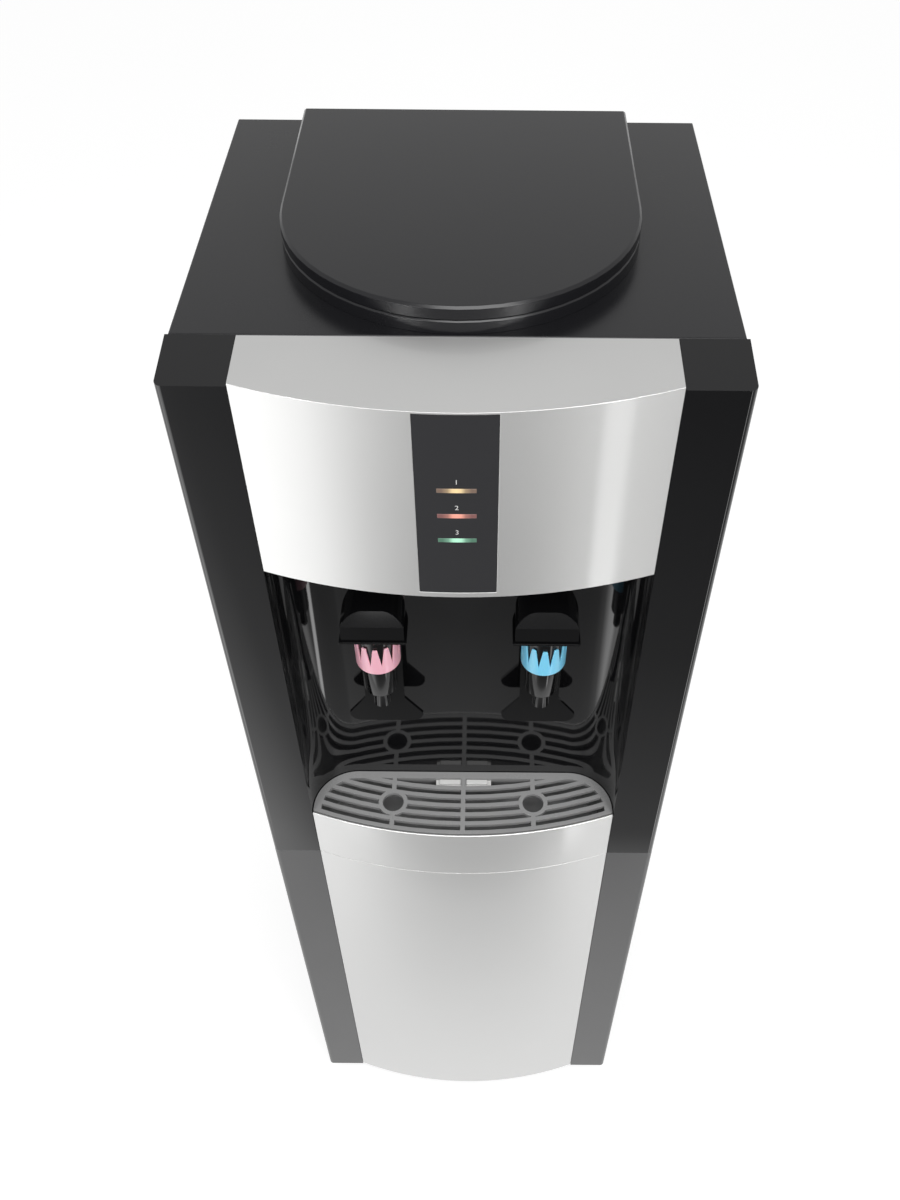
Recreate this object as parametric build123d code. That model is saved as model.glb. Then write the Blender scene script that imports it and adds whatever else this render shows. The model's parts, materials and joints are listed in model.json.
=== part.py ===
from build123d import *
import math
import os

os.makedirs("parts", exist_ok=True)

# Point-of-use water cooler, standing on the floor, front towards -Y, in millimetres.
# The origin is the middle of its outline on the floor.

# Overall sizes
width = 310.0  # across the two front pillars
casing_depth = 37.3  # front casings, from the pillar's face to the cabinet
cabinet_depth = 247.7  # sheet cabinet behind the casings
side_step = 1.5  # cabinet side set in from the pillar's side
bulge = 20.0  # how far the silver panels bow out past the pillars
condenser_reach = 30.0  # how far the condenser stands out behind the cabinet
foot_height = 10.0
lower_height = 478.5  # lower front casing
apron_height = 57.8  # silver lip in front of the drip tray
recess_height = 274.7  # from the lip to the recess's ceiling
fascia_height = 137.0  # upper silver panel
top_rise = 5.4  # the top climbs this much from the front edge to the cabinet
collar_height = 8.1  # ring under the lid
lid_height = 8.5

# Front casings and silver panels
pillar_width = 37.5
wall = 2.5  # moulded walls
silver = 2.0  # thickness of the silver panels
seam = 0.3  # gap at a joint line between two panels
recess_depth = 39.5  # recess's back wall behind the pillar's face
recess_corner = 34.0  # round upright corners of the recess
pocket_depth = 36.0  # floor under the drip tray, below the top of the lip
pillar_round = 4.0
strip_half = 22.4  # dark centre strip
strip_margin = 4.0  # silver left above and below the strip
lens_width = 21.6
lens_height = 3.0
lens_pitch = 18.6
lens_top_drop = 52.7  # first lens below the top of the upper silver panel
rib_pitch = 94.0  # ribs behind the lower silver panel
rib_depth = 3.0  # backing wall behind the pillar's face
board_thick = 1.6  # lamp board
board_back = 13.0  # lamp board behind the front of the strip
board_half = 21.0
board_peg_x = 17.0

# Sheet cabinet
sheet = 1.0
flange = 25.0  # turned-in edges of the side panels
skirt = 20.4  # depth of the top cover's skirt
bay_height = 240.0  # open compressor bay at the back, above the base
base_sheet = 1.5
base_lip = 15.0
vent_count = 8
vent_pitch = 14.0
vent_high = 5.0
vent_length = 90.0
vent_from_back = 132.5
shelf_pitch = 200.0  # from the hot tank's shelf up to the cold tank's
foot_radius = 17.0
stud_radius = 4.0  # rubber studs pressed through the base
foot_side = 33.5  # feet in from the cabinet's side, back and front
foot_behind = 32.5
foot_ahead = 28.2

# Lid and the well under it
lid_side = 50.0  # lid in from the pillars' sides
lid_ahead = 1.7  # lid's round front behind the front casing
lid_behind = 18.0  # and its flat back in from the cabinet's back
lid_corner = 8.0
lid_gap = 0.8  # shadow line between the lid and its collar
lid_wall = 2.5
collar_ring = 10.0  # width of the ring that the lid rests on
deck_drop = 21.0  # deck round the tank's mouth, below the cabinet's top
deck_gap = 2.4  # between the deck and the tank's flange

# Taps
tap_spacing = 110.0
tap_out = 28.9  # tap's axis in front of the recess's back wall
tip_drop = 142.0  # bottom of the nozzle below the recess's ceiling
nozzle_radius = 6.0
nozzle_length = 19.0
spout_radius = 11.5
spout_length = 29.0
spout_bore = 4.5
barrel_radius = 13.5
barrel_length = 37.0
chamber_radius = 10.5
neck_radius = 8.5
neck_drop = 9.0  # neck's axis below the top of the barrel
shank_length = 20.0  # thread behind the recess's wall
washer_thick = 1.5
nut_flats = 24.0
nut_thick = 8.0
crown_radius = 15.0
crown_band = 8.0  # plain band under the teeth
crown_teeth = 12
crown_tooth = 16.0  # height of the teeth
crown_floor = 1.5  # the clip's inward lip under the barrel
head_half = 20.0
head_height = 20.0
head_front = 18.6  # flat front of the head, ahead of the tap's axis
head_flat = 2.4  # straight part of its sides
visor_height = 12.5  # height of the flat front
ridge_half = 7.0  # half width of the ridge along the head's top
ridge_slope = 7.0  # the ridge's front leans back this far
head_wall = 2.0
head_gap = 0.8  # between the head and the bonnet's flange
bonnet_thick = 1.6
bonnet_margin = 1.5  # bonnet's flange shows this much round the head
pivot_out = 12.5  # lever's pivot ahead of the tap's axis
pivot_rise = 8.0  # and above the top of the barrel
ear_inner = 12.8  # bonnet's two ears, from the middle
ear_outer = 16.2
ear_radius = 2.8
arm_in = 9.8  # lever's two arms past the neck, from the middle
arm_out = 13.2
stem_back = 16.6  # back of the lever's stem behind the tap's axis
pin_radius = 1.5
pin_slip = 0.05  # running clearance on a pin
stem_radius = 2.3
stem_half = 14.0  # half width of the lever's stem above the paddle
web_room = 4.2  # the stem's top rises into this as the lever swings
paddle_half = 26.5
paddle_drop = 40.0  # bottom of the paddle below the tip of the nozzle
paddle_thick = 2.4
paddle_height = 27.0
paddle_side = 9.0  # height of its straight sides
paddle_corner = 8.0

# Drip tray and grille
fit_gap = 0.5  # lift-out pieces clear their seats by this
tray_wall = 2.0
grille_thick = 3.0
slot_width = 4.6
slot_pitch = 8.0
slot_rows = 5
back_slot_width = 8.0  # the row nearest the wall is wider
grille_rim = 6.5
grille_rib = 3.6
drip_hole = 8.25  # round drain openings under the nozzles
drip_ring = 11.5
catch_half = 19.0
catch_depth = 4.5

# Tanks
tank_height = 212.0
tank_wall = 1.0
tank_floor_rise = 28.0  # tank's bottom above the shelf
foam_ahead = 44.2  # foam behind the front casing
foam_behind = 15.5  # foam in from the cabinet's back
foam_side = 48.5  # foam in from the cabinet's sides
foam_wall = 19.0  # foam ahead of the tank and behind it
hose_inset = 7.0  # hot hose behind the foam's front
coil_turns = 4.5
coil_thick = 5.0
coil_low_rise = 47.0  # coil's ends above the tank's bottom
coil_high_rise = 112.0
coil_room = 7.2  # between the tank and the foam
hose_radius = 4.0
hose_bore = 2.8
stub_radius = 2.7  # a hose slips over this
stub_bore = 1.9
valve_drop = 25.0  # float valve's axis below the tank's flange
valve_hole = 6.2
valve_flange = 9.0
float_fork = 3.1  # half the gap of the clevis
float_radius = 19.0
float_height = 24.0
float_reach = 55.0  # drum ahead of the float's pin
float_drop = 12.0
float_pin_drop = 10.0  # float's pin below the valve's axis
float_pin_inset = 13.0  # and in from the tank's wall
hot_forward = 18.0  # hot tank's axis ahead of the cold tank's
hot_radius = 55.0
hot_height = 135.0
hot_foam = 18.0
hot_rise = 15.0  # hot tank's bottom above its shelf
thermostat_radius = 8.0

# Cooling circuit
tube_radius = 2.5
pass_pitch = 80.0
pass_count = 7
pass_side = 12.0  # bends in from the pillars' sides
pass_drop = 151.4  # top run below the cabinet's top
wire_radius = 0.8
wire_pitch = 15.0
wire_count = 13
compressor_radius = 60.0
compressor_height = 128.0
seam_height = 56.0  # weld between its two shells
compressor_from_back = 95.5
grommet_height = 12.0
grommet_radius = 9.5
mount_x = 65.0
mount_y = 45.0
plate_thick = 3.0
bolt_radius = 3.0
port_rise = 86.5  # compressor's stubs above its foot plate
discharge_x = 30.0
suction_x = 74.0
riser_side = 5.0  # riser in from the pillar's side
condenser_drop = 20.0  # condenser's ends below the back panel
bracket_in = 92.0
bracket_out = 103.0
line_side = 17.5  # refrigerant lines in from the side panels
line_behind = 15.5  # and from the cabinet's back
low_line_rise = 80.0  # lowest run above the base
low_line_step = 23.0  # it goes in beside the upright run
drier_radius = 7.0
drier_length = 80.0
drier_cone = 4.0
drier_drop = 35.0  # drier's top below the condenser's end

# Back fittings
fitting_rise = 16.0  # above the back panel's lower edge
fitting_x = 60.0
tube_bore = 3.2  # takes a quarter-inch water tube
switch_side = 35.5  # in from the cabinet's side
switch_drop = 82.4  # below the cabinet's top
switch_pitch = 27.0
switch_deep = 18.0
rocker_throw = 18.0
rocker_half = 5.0
rocker_edge = 7.2
rocker_pin = 1.2
gland_radius = 7.0
gland_bore = 4.0
inlet_radius = 8.0
drain_radius = 7.0
drain_neck = 9.0
cap_slip = 0.05

# Facets of the round pieces that are small or out of sight
round_sides = 28
tube_sides = 4
hose_sides = 6
bend_steps = 3
slot_steps = 16

# Fasteners
screw_radius = 1.5
screw_head = 3.6
screw_slip = 0.05

# Levels and planes worked out from the sizes above
total_depth = bulge + casing_depth + cabinet_depth + condenser_reach
half_width = width / 2
front_y = bulge - total_depth / 2
casing_back = front_y + casing_depth
cabinet_back = casing_back + cabinet_depth
rear_y = total_depth / 2
z_base = foot_height
z_joint = z_base + lower_height
z_apron = z_joint + apron_height
z_ceiling = z_apron + recess_height
z_front_top = z_ceiling + fascia_height
z_top = z_front_top + top_rise
z_collar = z_top + collar_height
z_lid = z_collar + lid_height
z_skirt = z_top - skirt
inner_x = half_width - pillar_width
cabinet_half = half_width - side_step
panel_inner = cabinet_half - sheet
recess_back = front_y + recess_depth
bow_radius = (inner_x**2 + bulge**2) / (2 * bulge)
bow_centre = front_y - bulge + bow_radius
pocket_z = z_apron - pocket_depth
tap_y = recess_back - tap_out
tip_z = z_ceiling - tip_drop
spout_z = tip_z + nozzle_length
barrel_z = spout_z + spout_length
barrel_top = barrel_z + barrel_length
neck_z = barrel_top - neck_drop
pivot_y = tap_y - pivot_out
pivot_z = barrel_top + pivot_rise
bonnet_top = barrel_top + bonnet_thick
head_z = bonnet_top + head_gap
lid_half = half_width - lid_side
lid_centre_y = casing_back + lid_ahead + lid_half
lid_back_y = cabinet_back - lid_behind
deck_z = z_top - deck_drop
tank_top = deck_z - deck_gap
tank_z = tank_top - tank_height
shelf_z = tank_z - tank_floor_rise
low_shelf_z = shelf_z - shelf_pitch
foam_half_x = cabinet_half - foam_side
foam_half_y = (cabinet_depth - foam_ahead - foam_behind) / 2
tank_y = casing_back + foam_ahead + foam_half_y
tank_radius = foam_half_y - foam_wall
foam_bore = tank_radius + coil_room
coil_low = tank_z + coil_low_rise
coil_high = tank_z + coil_high_rise
valve_z = tank_top - valve_drop
float_y = tank_y + tank_radius - float_pin_inset
float_z = valve_z - float_pin_drop
hot_y = tank_y - hot_forward
hot_z = low_shelf_z + hot_rise
hot_foam_top = hot_z + hot_height + 22.0
condenser_y = rear_y - 7.5
condenser_low = z_base + bay_height - condenser_drop
top_pass_z = z_top - pass_drop
pass_half = half_width - pass_side
riser_x = half_width - riser_side
line_x = panel_inner - line_side
line_y = cabinet_back - line_behind
compressor_y = cabinet_back - compressor_from_back
plate_z = z_base + base_sheet + grommet_height
port_z = plate_z + port_rise
discharge_y = compressor_y + compressor_radius + 4.0
fitting_z = z_base + bay_height + fitting_rise
switch_x = switch_side - cabinet_half
switch_z = z_top - switch_drop
hose_back_y = cabinet_back - 9.5
rocker_y = cabinet_back - 1.0
drain_end = cabinet_back + 22.5
boss_x = inner_x + pillar_width / 2
back_screw_x = cabinet_half - flange / 2
board_y = front_y - bulge + board_back
hot_hose_y = tank_y - foam_half_y + hose_inset


def block(x0, x1, y0, y1, z0, z1):
    """A box between two corners."""
    middle = Pos((x0 + x1) / 2, (y0 + y1) / 2, (z0 + z1) / 2)
    return middle * Box(x1 - x0, y1 - y0, z1 - z0)


def bar(start, end, radius):
    """A round bar from one point to another."""
    run = Vector(*end) - Vector(*start)
    return extrude(Plane(origin=start, z_dir=run) * Circle(radius), run.length)


def rod(start, end, radius, sides=8):
    """A small bar between two points, round to within a few flats."""
    run = Vector(*end) - Vector(*start)
    return extrude(Plane(origin=start, z_dir=run) * RegularPolygon(radius, sides), run.length)


def drill(start, end, radius, sides=8):
    """A small hole between two points, whose flats lie at the radius."""
    run = Vector(*end) - Vector(*start)
    outline = RegularPolygon(radius, sides, major_radius=False)
    return extrude(Plane(origin=start, z_dir=run) * outline, run.length)


def disc(radius, height, sides=round_sides):
    """An upright round slab, round to within a few flats."""
    return extrude(RegularPolygon(radius, sides), height)


def well(radius, height, sides=round_sides):
    """The round hollow that a disc of the same radius fits."""
    return extrude(RegularPolygon(radius, sides, major_radius=False), height)


def turned(levels, sides=round_sides):
    """An upright turned shape through (radius, height) levels, round to within a few flats."""
    rings = []
    for radius, z in levels:
        angles = [2 * math.pi * i / sides for i in range(sides)]
        rings.append([(radius * math.cos(angle), radius * math.sin(angle), z) for angle in angles])
    loops = [rings[0], rings[-1]]
    for low, high in zip(rings, rings[1:]):
        for i in range(sides):
            after = (i + 1) % sides
            loops.append([low[i], low[after], high[after], high[i]])
    return Solid(Shell([make_face(Polyline(*loop, close=True)).face() for loop in loops]))


def stepped(start, middle, end, steps):
    """An arc through three points, in short straight steps."""
    arc = ThreePointArc(start, middle, end)
    return Polyline(*[arc @ (i / steps) for i in range(steps + 1)])


def eased(points, bends):
    """A route whose corners follow tangent arcs, each in a few short steps."""
    corners = [Vector(*point) for point in points]
    route = [corners[0]]
    for before, corner, after, radius in zip(corners, corners[1:], corners[2:], bends):
        back = (before - corner).normalized()
        onward = (after - corner).normalized()
        half = math.radians(back.get_angle(onward)) / 2
        centre = corner + (back + onward).normalized() * (radius / math.sin(half))
        first = corner + back * (radius / math.tan(half)) - centre
        last = corner + onward * (radius / math.tan(half)) - centre
        turn = math.pi - 2 * half
        for i in range(bend_steps + 1):
            share = i / bend_steps
            spoke = first * math.sin((1 - share) * turn) + last * math.sin(share * turn)
            route.append(centre + spoke * (1 / math.sin(turn)))
    return route + [corners[-1]]


def pipe(points, radius, bends, bore=0.0, sides=6):
    """A tube along straight runs joined by eased bends, round to within a few flats."""
    path = Polyline(*eased(points, bends))
    start = Plane(origin=path @ 0, z_dir=path % 0)
    tube = sweep(start * RegularPolygon(radius, sides), path=path, transition=Transition.RIGHT)
    if bore:
        hole = start * RegularPolygon(bore, sides, major_radius=False)
        tube -= sweep(hole, path=path, transition=Transition.RIGHT)
    return tube


def recess_plan(side_gap, front_gap):
    """Plan of the recess: straight back, round corners, and a front that bows like the silver panels."""
    side = inner_x - side_gap
    back = recess_back - side_gap
    corner = recess_corner - side_gap
    bow = bow_radius - front_gap
    front = bow_centre - math.sqrt(bow**2 - side**2)
    turn = corner * math.sqrt(0.5)
    mid_x = side - corner
    mid_y = back - corner
    outline = Line((-side, front), (-side, mid_y))
    outline += ThreePointArc((-side, mid_y), (-mid_x - turn, mid_y + turn), (-mid_x, back))
    outline += Line((-mid_x, back), (mid_x, back))
    outline += ThreePointArc((mid_x, back), (mid_x + turn, mid_y + turn), (side, mid_y))
    outline += Line((side, mid_y), (side, front))
    outline += ThreePointArc((side, front), (0, bow_centre - bow), (-side, front))
    return make_face(outline)


def bow_plan(half, front_gap, back):
    """Plan of what lies behind a silver panel's bow, back to a plane."""
    bow = bow_radius - front_gap
    front = bow_centre - math.sqrt(bow**2 - half**2)
    outline = ThreePointArc((half, front), (0, bow_centre - bow), (-half, front))
    outline += Line((-half, front), (-half, back))
    outline += Line((-half, back), (half, back))
    outline += Line((half, back), (half, front))
    return make_face(outline)


def bow_sheet(half, front_gap, thickness):
    """Plan of a bowed sheet of even thickness."""
    deep = front_y + bulge
    return bow_plan(half, front_gap, deep) - bow_plan(2 * half, front_gap + thickness, deep + bulge)


def rise(plan, z0, z1):
    """A plan shape stood up between two heights."""
    return extrude(Pos(0, 0, z0) * plan, z1 - z0)


def above_slope(front, low_z):
    """What lies above a top that climbs from a front line to the cabinet's top."""
    run = Polyline(
        (front - width, low_z),
        (front, low_z),
        (casing_back, z_top),
        (casing_back + width, z_top),
        (casing_back + width, z_top + width),
        (front - width, z_top + width),
        close=True,
    )
    return extrude(Plane.YZ * make_face(run), width, both=True)


def pillar(side, z0, z1, sloped):
    """One moulded front pillar, open at the back, with bosses for its screws."""
    body = block(inner_x, half_width, front_y, casing_back, z0, z1)
    hollow = block(
        inner_x + wall, half_width - wall, front_y + wall, casing_back, z0 + wall, z_front_top - wall
    )
    if sloped:
        body -= above_slope(front_y, z_front_top)
    else:
        hollow &= block(inner_x, half_width, front_y, casing_back, z0, z1 - wall)
    corner = body.edges().filter_by(Axis.Z).group_by(Axis.X)[-1].group_by(Axis.Y)[0]
    body = fillet(corner, pillar_round) - hollow
    for z in casing_screws(z0, z1):
        boss = rod((boss_x, front_y + wall, z), (boss_x, casing_back, z), screw_radius + wall)
        hole = drill((boss_x, casing_back - 14, z), (boss_x, casing_back, z), screw_radius + screw_slip)
        body += boss
        body -= hole
    return body if side > 0 else mirror(body, about=Plane.YZ)


def casing_screws(z0, z1):
    """Heights of the screws that hold one casing to the cabinet's flanges."""
    inset = 42.0
    return [z0 + inset, z1 - inset]


def upper_casing():
    """Glossy black moulding: two pillars, the recess with its round corners, ceiling and floor."""
    body = pillar(1, z_joint, z_top, True) + pillar(-1, z_joint, z_top, True)
    lining = recess_plan(-wall, 0) - recess_plan(0, -1)
    body += rise(lining, z_joint, z_front_top - 2 * wall)
    shelf = recess_plan(-wall / 2, silver + seam)
    body += rise(shelf, z_ceiling, z_ceiling + wall)
    body += rise(shelf, pocket_z - wall, pocket_z)
    for side in (-1, 1):
        x = side * tap_spacing / 2
        body -= drill((x, recess_back - 1, neck_z), (x, casing_back + 20, neck_z), neck_radius + 0.2, 16)
    return body


def lower_casing():
    """Black moulding of the lower front: pillars, a backing wall and ribs behind the silver panel."""
    body = pillar(1, z_base, z_joint, False) + pillar(-1, z_base, z_joint, False)
    back = front_y + rib_depth
    body += block(-inner_x - wall, inner_x + wall, back, back + wall, z_base, z_joint)
    rib = bow_plan(inner_x + wall / 2, silver + seam, back + wall / 2)
    top = z_joint - wall
    count = int((top - z_base) / rib_pitch)
    for i in range(count + 1):
        z = z_base + i * (top - z_base) / count
        body += rise(rib, z, z + wall)
    return body


def lower_fascia():
    """Bowed silver panel of the lower front."""
    plan = bow_sheet(inner_x - seam, 0, silver)
    return rise(plan, z_base + wall + seam, z_joint - seam)


def tray_apron():
    """Bowed silver lip that holds the drip tray in, with an eased top edge."""
    body = rise(bow_sheet(inner_x - seam, 0, silver), z_joint + seam, z_apron)
    return chamfer(body.edges().group_by(Axis.Z)[-1].filter_by(GeomType.CIRCLE), silver * 0.3)


def upper_fascia():
    """Silver panel of the upper front and its top, with a window for the dark strip."""
    half = inner_x - seam
    nose_y = front_y - bulge
    body = rise(bow_plan(half, 0, casing_back - seam), z_ceiling, z_top + 1)
    body -= above_slope(nose_y, z_front_top)
    inside = rise(bow_plan(half + 1, silver, casing_back), z_ceiling - 1, z_top + 1)
    body -= inside - Pos(0, 0, -silver) * above_slope(nose_y, z_front_top)
    slot = strip_half + 0.15
    z_high = z_front_top - strip_margin + 0.15
    z_low = z_ceiling + strip_margin - 0.15
    return body - block(-slot, slot, nose_y - 1, front_y, z_low, z_high)


def lens_heights():
    """Heights of the three indicator bars, top one first."""
    return [z_front_top - lens_top_drop - i * lens_pitch for i in range(3)]


def indicator_strip():
    """Dark strip set into the silver panel, with a flange behind it and pegs for the lamp board."""
    low = z_ceiling + strip_margin
    high = z_front_top - strip_margin
    body = rise(bow_sheet(strip_half, 0.2, silver + 0.1), low, high)
    body += rise(bow_sheet(strip_half + 4, silver + 0.1, 1.5), low, high - 3 * wall)
    face_y = front_y - bulge + silver
    for z in lens_heights():
        slot_x = lens_width / 2 + 0.1
        slot_z = lens_height / 2 + 0.1
        body -= block(-slot_x, slot_x, face_y - 9, face_y + 9, z - slot_z, z + slot_z)
    for x in (-board_peg_x, board_peg_x):
        for z in board_peg_heights():
            body += rod((x, face_y + 1.2, z), (x, board_y, z), 2.5, 6)
            body += rod((x, board_y - 1, z), (x, board_y + board_thick + 1, z), 1.2, 6)
    return body


def board_peg_heights():
    """Heights of the board's four pegs: a pair above and a pair below the lamps."""
    high, _, low = lens_heights()
    return [high + 16.0, low - 16.0]


def indicator_lens(index):
    """Clear bar that carries one lamp's light to the front of the strip."""
    z = lens_heights()[index]
    half = lens_height / 2
    body = rise(bow_sheet(lens_width / 2, 0.1, silver + 4), z - half, z + half)
    flange_plan = bow_sheet(lens_width / 2 + 1.5, silver + 1.7, 1.2)
    return body + rise(flange_plan, z - half - 1.5, z + half + 1.5)


def indicator_board():
    """Lamp board on the strip's pegs, with a lamp behind each bar."""
    high, low = board_peg_heights()
    body = block(-board_half, board_half, board_y, board_y + board_thick, low - 5, high + 5)
    for x in (-board_peg_x, board_peg_x):
        for z in (low, high):
            body -= drill((x, board_y - 1, z), (x, board_y + 3, z), 1.3, 6)
    for z in lens_heights():
        body += block(-8, 8, board_y - 3.5, board_y + 0.5, z - 1.5, z + 1.5)
    return body


def d_plan(inset):
    """Plan of the lid: flat back with small corners, straight sides, half-round front."""
    half = lid_half - inset
    back = lid_back_y - inset
    corner = max(lid_corner - inset, 1.0)
    turn = corner * (1 - math.sqrt(0.5))
    outline = stepped(
        (half, lid_centre_y), (0, lid_centre_y - half), (-half, lid_centre_y), round_sides
    )
    outline += Line((-half, lid_centre_y), (-half, back - corner))
    outline += stepped(
        (-half, back - corner), (-half + turn, back - turn), (-half + corner, back), bend_steps
    )
    outline += Line((-half + corner, back), (half - corner, back))
    outline += stepped(
        (half - corner, back), (half - turn, back - turn), (half, back - corner), bend_steps
    )
    outline += Line((half, back - corner), (half, lid_centre_y))
    return make_face(outline)


def lid():
    """D-shaped lid: a shallow moulded cap whose rib drops inside the collar."""
    body = rise(d_plan(0), z_collar + lid_gap, z_lid)
    body = chamfer(body.edges().group_by(Axis.Z)[-1], 1.5)
    body -= rise(d_plan(lid_wall), z_collar + lid_gap, z_lid - lid_wall)
    rib_in = collar_ring + fit_gap
    rib = d_plan(rib_in) - d_plan(rib_in + lid_wall)
    return body + rise(rib, z_collar - 6, z_lid - lid_wall / 2)


def lid_collar():
    """Ring under the lid, whose neck runs down to a deck with a round mouth over the cold tank."""
    body = rise(d_plan(0), z_top, z_collar)
    body = chamfer(body.edges().group_by(Axis.Z)[-1], 1.0)
    body += rise(d_plan(collar_ring - wall), deck_z, z_top + 1)
    body -= rise(d_plan(collar_ring), deck_z + wall, z_collar + 1)
    return body - Pos(0, tank_y, deck_z) * Cylinder(tank_radius - 3, 4 * wall)


def top_cover():
    """Moulded top of the cabinet, with its skirt and the opening for the collar's neck."""
    body = block(-cabinet_half, cabinet_half, casing_back, cabinet_back, z_skirt, z_top)
    inside = block(
        -cabinet_half + wall,
        cabinet_half - wall,
        casing_back - 1,
        cabinet_back - wall,
        z_skirt - 1,
        z_top - wall,
    )
    lip = block(-inner_x, inner_x, casing_back, casing_back + wall, z_top - 3 * wall, z_top)
    opening = rise(d_plan(collar_ring - wall - seam), z_skirt, z_top + 1)
    return body - inside + lip - opening


def side_panel(side):
    """Sheet side of the cabinet, with turned-in edges and vents beside the compressor."""
    rear = cabinet_back - sheet
    low = z_base + base_sheet
    body = block(panel_inner, cabinet_half, casing_back, rear, low, z_skirt)
    inward = cabinet_half - flange
    body += block(inward, panel_inner + 0.5, casing_back, casing_back + sheet, low, z_skirt)
    body += block(inward, panel_inner + 0.5, rear - sheet, rear, low, z_skirt)
    holes = casing_screws(z_base, z_joint) + casing_screws(z_joint, z_top)
    for z in holes:
        body -= drill((boss_x, casing_back - 1, z), (boss_x, casing_back + 3, z), screw_radius + 0.2)
    for z in back_screws():
        body -= drill((back_screw_x, rear - 3, z), (back_screw_x, rear + 1, z), screw_radius + screw_slip)
    vent_y = cabinet_back - vent_from_back
    for i in range(vent_count):
        z = z_base + 45 + i * vent_pitch
        body -= block(panel_inner - 1, cabinet_half + 1, vent_y, vent_y + vent_length, z, z + vent_high)
    return body if side > 0 else mirror(body, about=Plane.YZ)


def back_screws():
    """Heights of the screws along each side of the back panel."""
    low = z_base + bay_height + 12
    high = z_skirt - 12
    return [low, (low + high) / 2, high]


def back_panel():
    """Sheet back above the open compressor bay, with holes for the fittings and switches."""
    low = z_base + bay_height
    body = block(-panel_inner, panel_inner, cabinet_back - sheet, cabinet_back, low, z_skirt)
    holes = [(side * back_screw_x, z, screw_radius + 0.2) for side in (-1, 1) for z in back_screws()]
    holes += [
        (fitting_x, fitting_z, inlet_radius + 0.2),
        (-fitting_x, fitting_z, gland_radius + 0.2),
        (0, fitting_z, drain_neck + 0.2),
    ]
    for x, z, radius in holes:
        body -= drill((x, cabinet_back - 3, z), (x, cabinet_back + 1, z), radius, 16)
    for z in switch_heights():
        body -= block(
            switch_x - 6.7, switch_x + 6.7, cabinet_back - 3, cabinet_back + 1, z - 9.7, z + 9.7
        )
    return body


def base_tray():
    """Folded base that carries the compressor, the side panels and the feet."""
    half = panel_inner - seam
    front = casing_back + 2 * sheet
    back = cabinet_back - 2 * sheet - seam
    body = block(-half, half, front, back, z_base, z_base + base_lip)
    body -= block(
        -half + base_sheet,
        half - base_sheet,
        front + base_sheet,
        back - base_sheet,
        z_base + base_sheet,
        z_base + base_lip + 1,
    )
    for x, y in foot_places() + mount_places():
        body -= Pos(x, y, z_base - 1) * well(stud_radius + 0.1, 4, 8)
    return body


def foot_places():
    """Where the four feet stand."""
    x = cabinet_half - foot_side
    return [(sign * x, y) for sign in (-1, 1) for y in (casing_back + foot_ahead, cabinet_back - foot_behind)]


def feet():
    """Four rubber feet, each pressed through the base with a short stud."""
    group = []
    for x, y in foot_places():
        pad = turned([(foot_radius - 2, 0), (foot_radius, 2), (foot_radius, z_base)], 16)
        stud = Pos(0, 0, z_base - 1) * disc(stud_radius, base_sheet + 5, 8)
        group.append(Pos(x, y, 0) * (pad + stud))
    return Compound(group)


def tank_shelves():
    """Two folded shelves between the side panels: one for the cold tank, one for the hot tank."""
    group = []
    for z in (low_shelf_z, shelf_z):
        front = casing_back + 6
        back = cabinet_back - 3 * sheet
        half = panel_inner - seam
        body = block(-half, half, front, back, z - flange, z)
        body -= block(-half + sheet, half - sheet, front - 1, back + 1, z - flange - 1, z - sheet)
        for side in (-1, 1):
            corner = side * (half - 12)
            body -= block(corner - 22, corner + 22, back - 26, back + 1, z - flange - 1, z + 1)
        body -= block(fitting_x - 8, fitting_x + 8, back - 14, back + 1, z - flange - 1, z + 1)
        body -= Pos(0, tank_y if z == shelf_z else hot_y, z - 5) * well(hose_radius + 5, 10, 12)
        if z == shelf_z:
            body -= Pos(-tap_spacing / 2, hot_hose_y, z - 5) * well(hose_radius + 5, 10, 12)
        group.append(body)
    return Compound(group)


def tap_body(side):
    """Tap moulding: nozzle, spout, barrel with its valve seat, neck, wall flange and threaded shank."""
    x = side * tap_spacing / 2
    wall_y = recess_back - washer_thick
    step_z = barrel_z + crown_floor
    body = Pos(x, tap_y, tip_z) * disc(nozzle_radius, spout_z - tip_z + 1, 24)
    body += Pos(x, tap_y, spout_z) * disc(spout_radius, step_z - spout_z, 24)
    body += Pos(x, tap_y, step_z) * disc(barrel_radius, barrel_top - step_z, 24)
    end_y = recess_back + wall + shank_length
    body += rod((x, tap_y + chamber_radius, neck_z), (x, wall_y, neck_z), neck_radius, 20)
    body += rod((x, wall_y - 1, neck_z), (x, end_y, neck_z), neck_radius - 0.3, 16)
    body += rod((x, wall_y - 4, neck_z), (x, wall_y, neck_z), crown_radius, 24)
    chamber = Pos(x, tap_y, barrel_z + 6) * well(chamber_radius, barrel_length, 16)
    seat = Pos(x, tap_y, barrel_z + 5) * disc(spout_bore + 2, 2, 12)
    way = Pos(x, tap_y, tip_z - 1) * well(spout_bore, barrel_length + 30, 12)
    inlet = drill((x, tap_y + spout_bore, neck_z), (x, end_y + 1, neck_z), spout_bore)
    return body - chamber + seat - way - inlet


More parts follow.
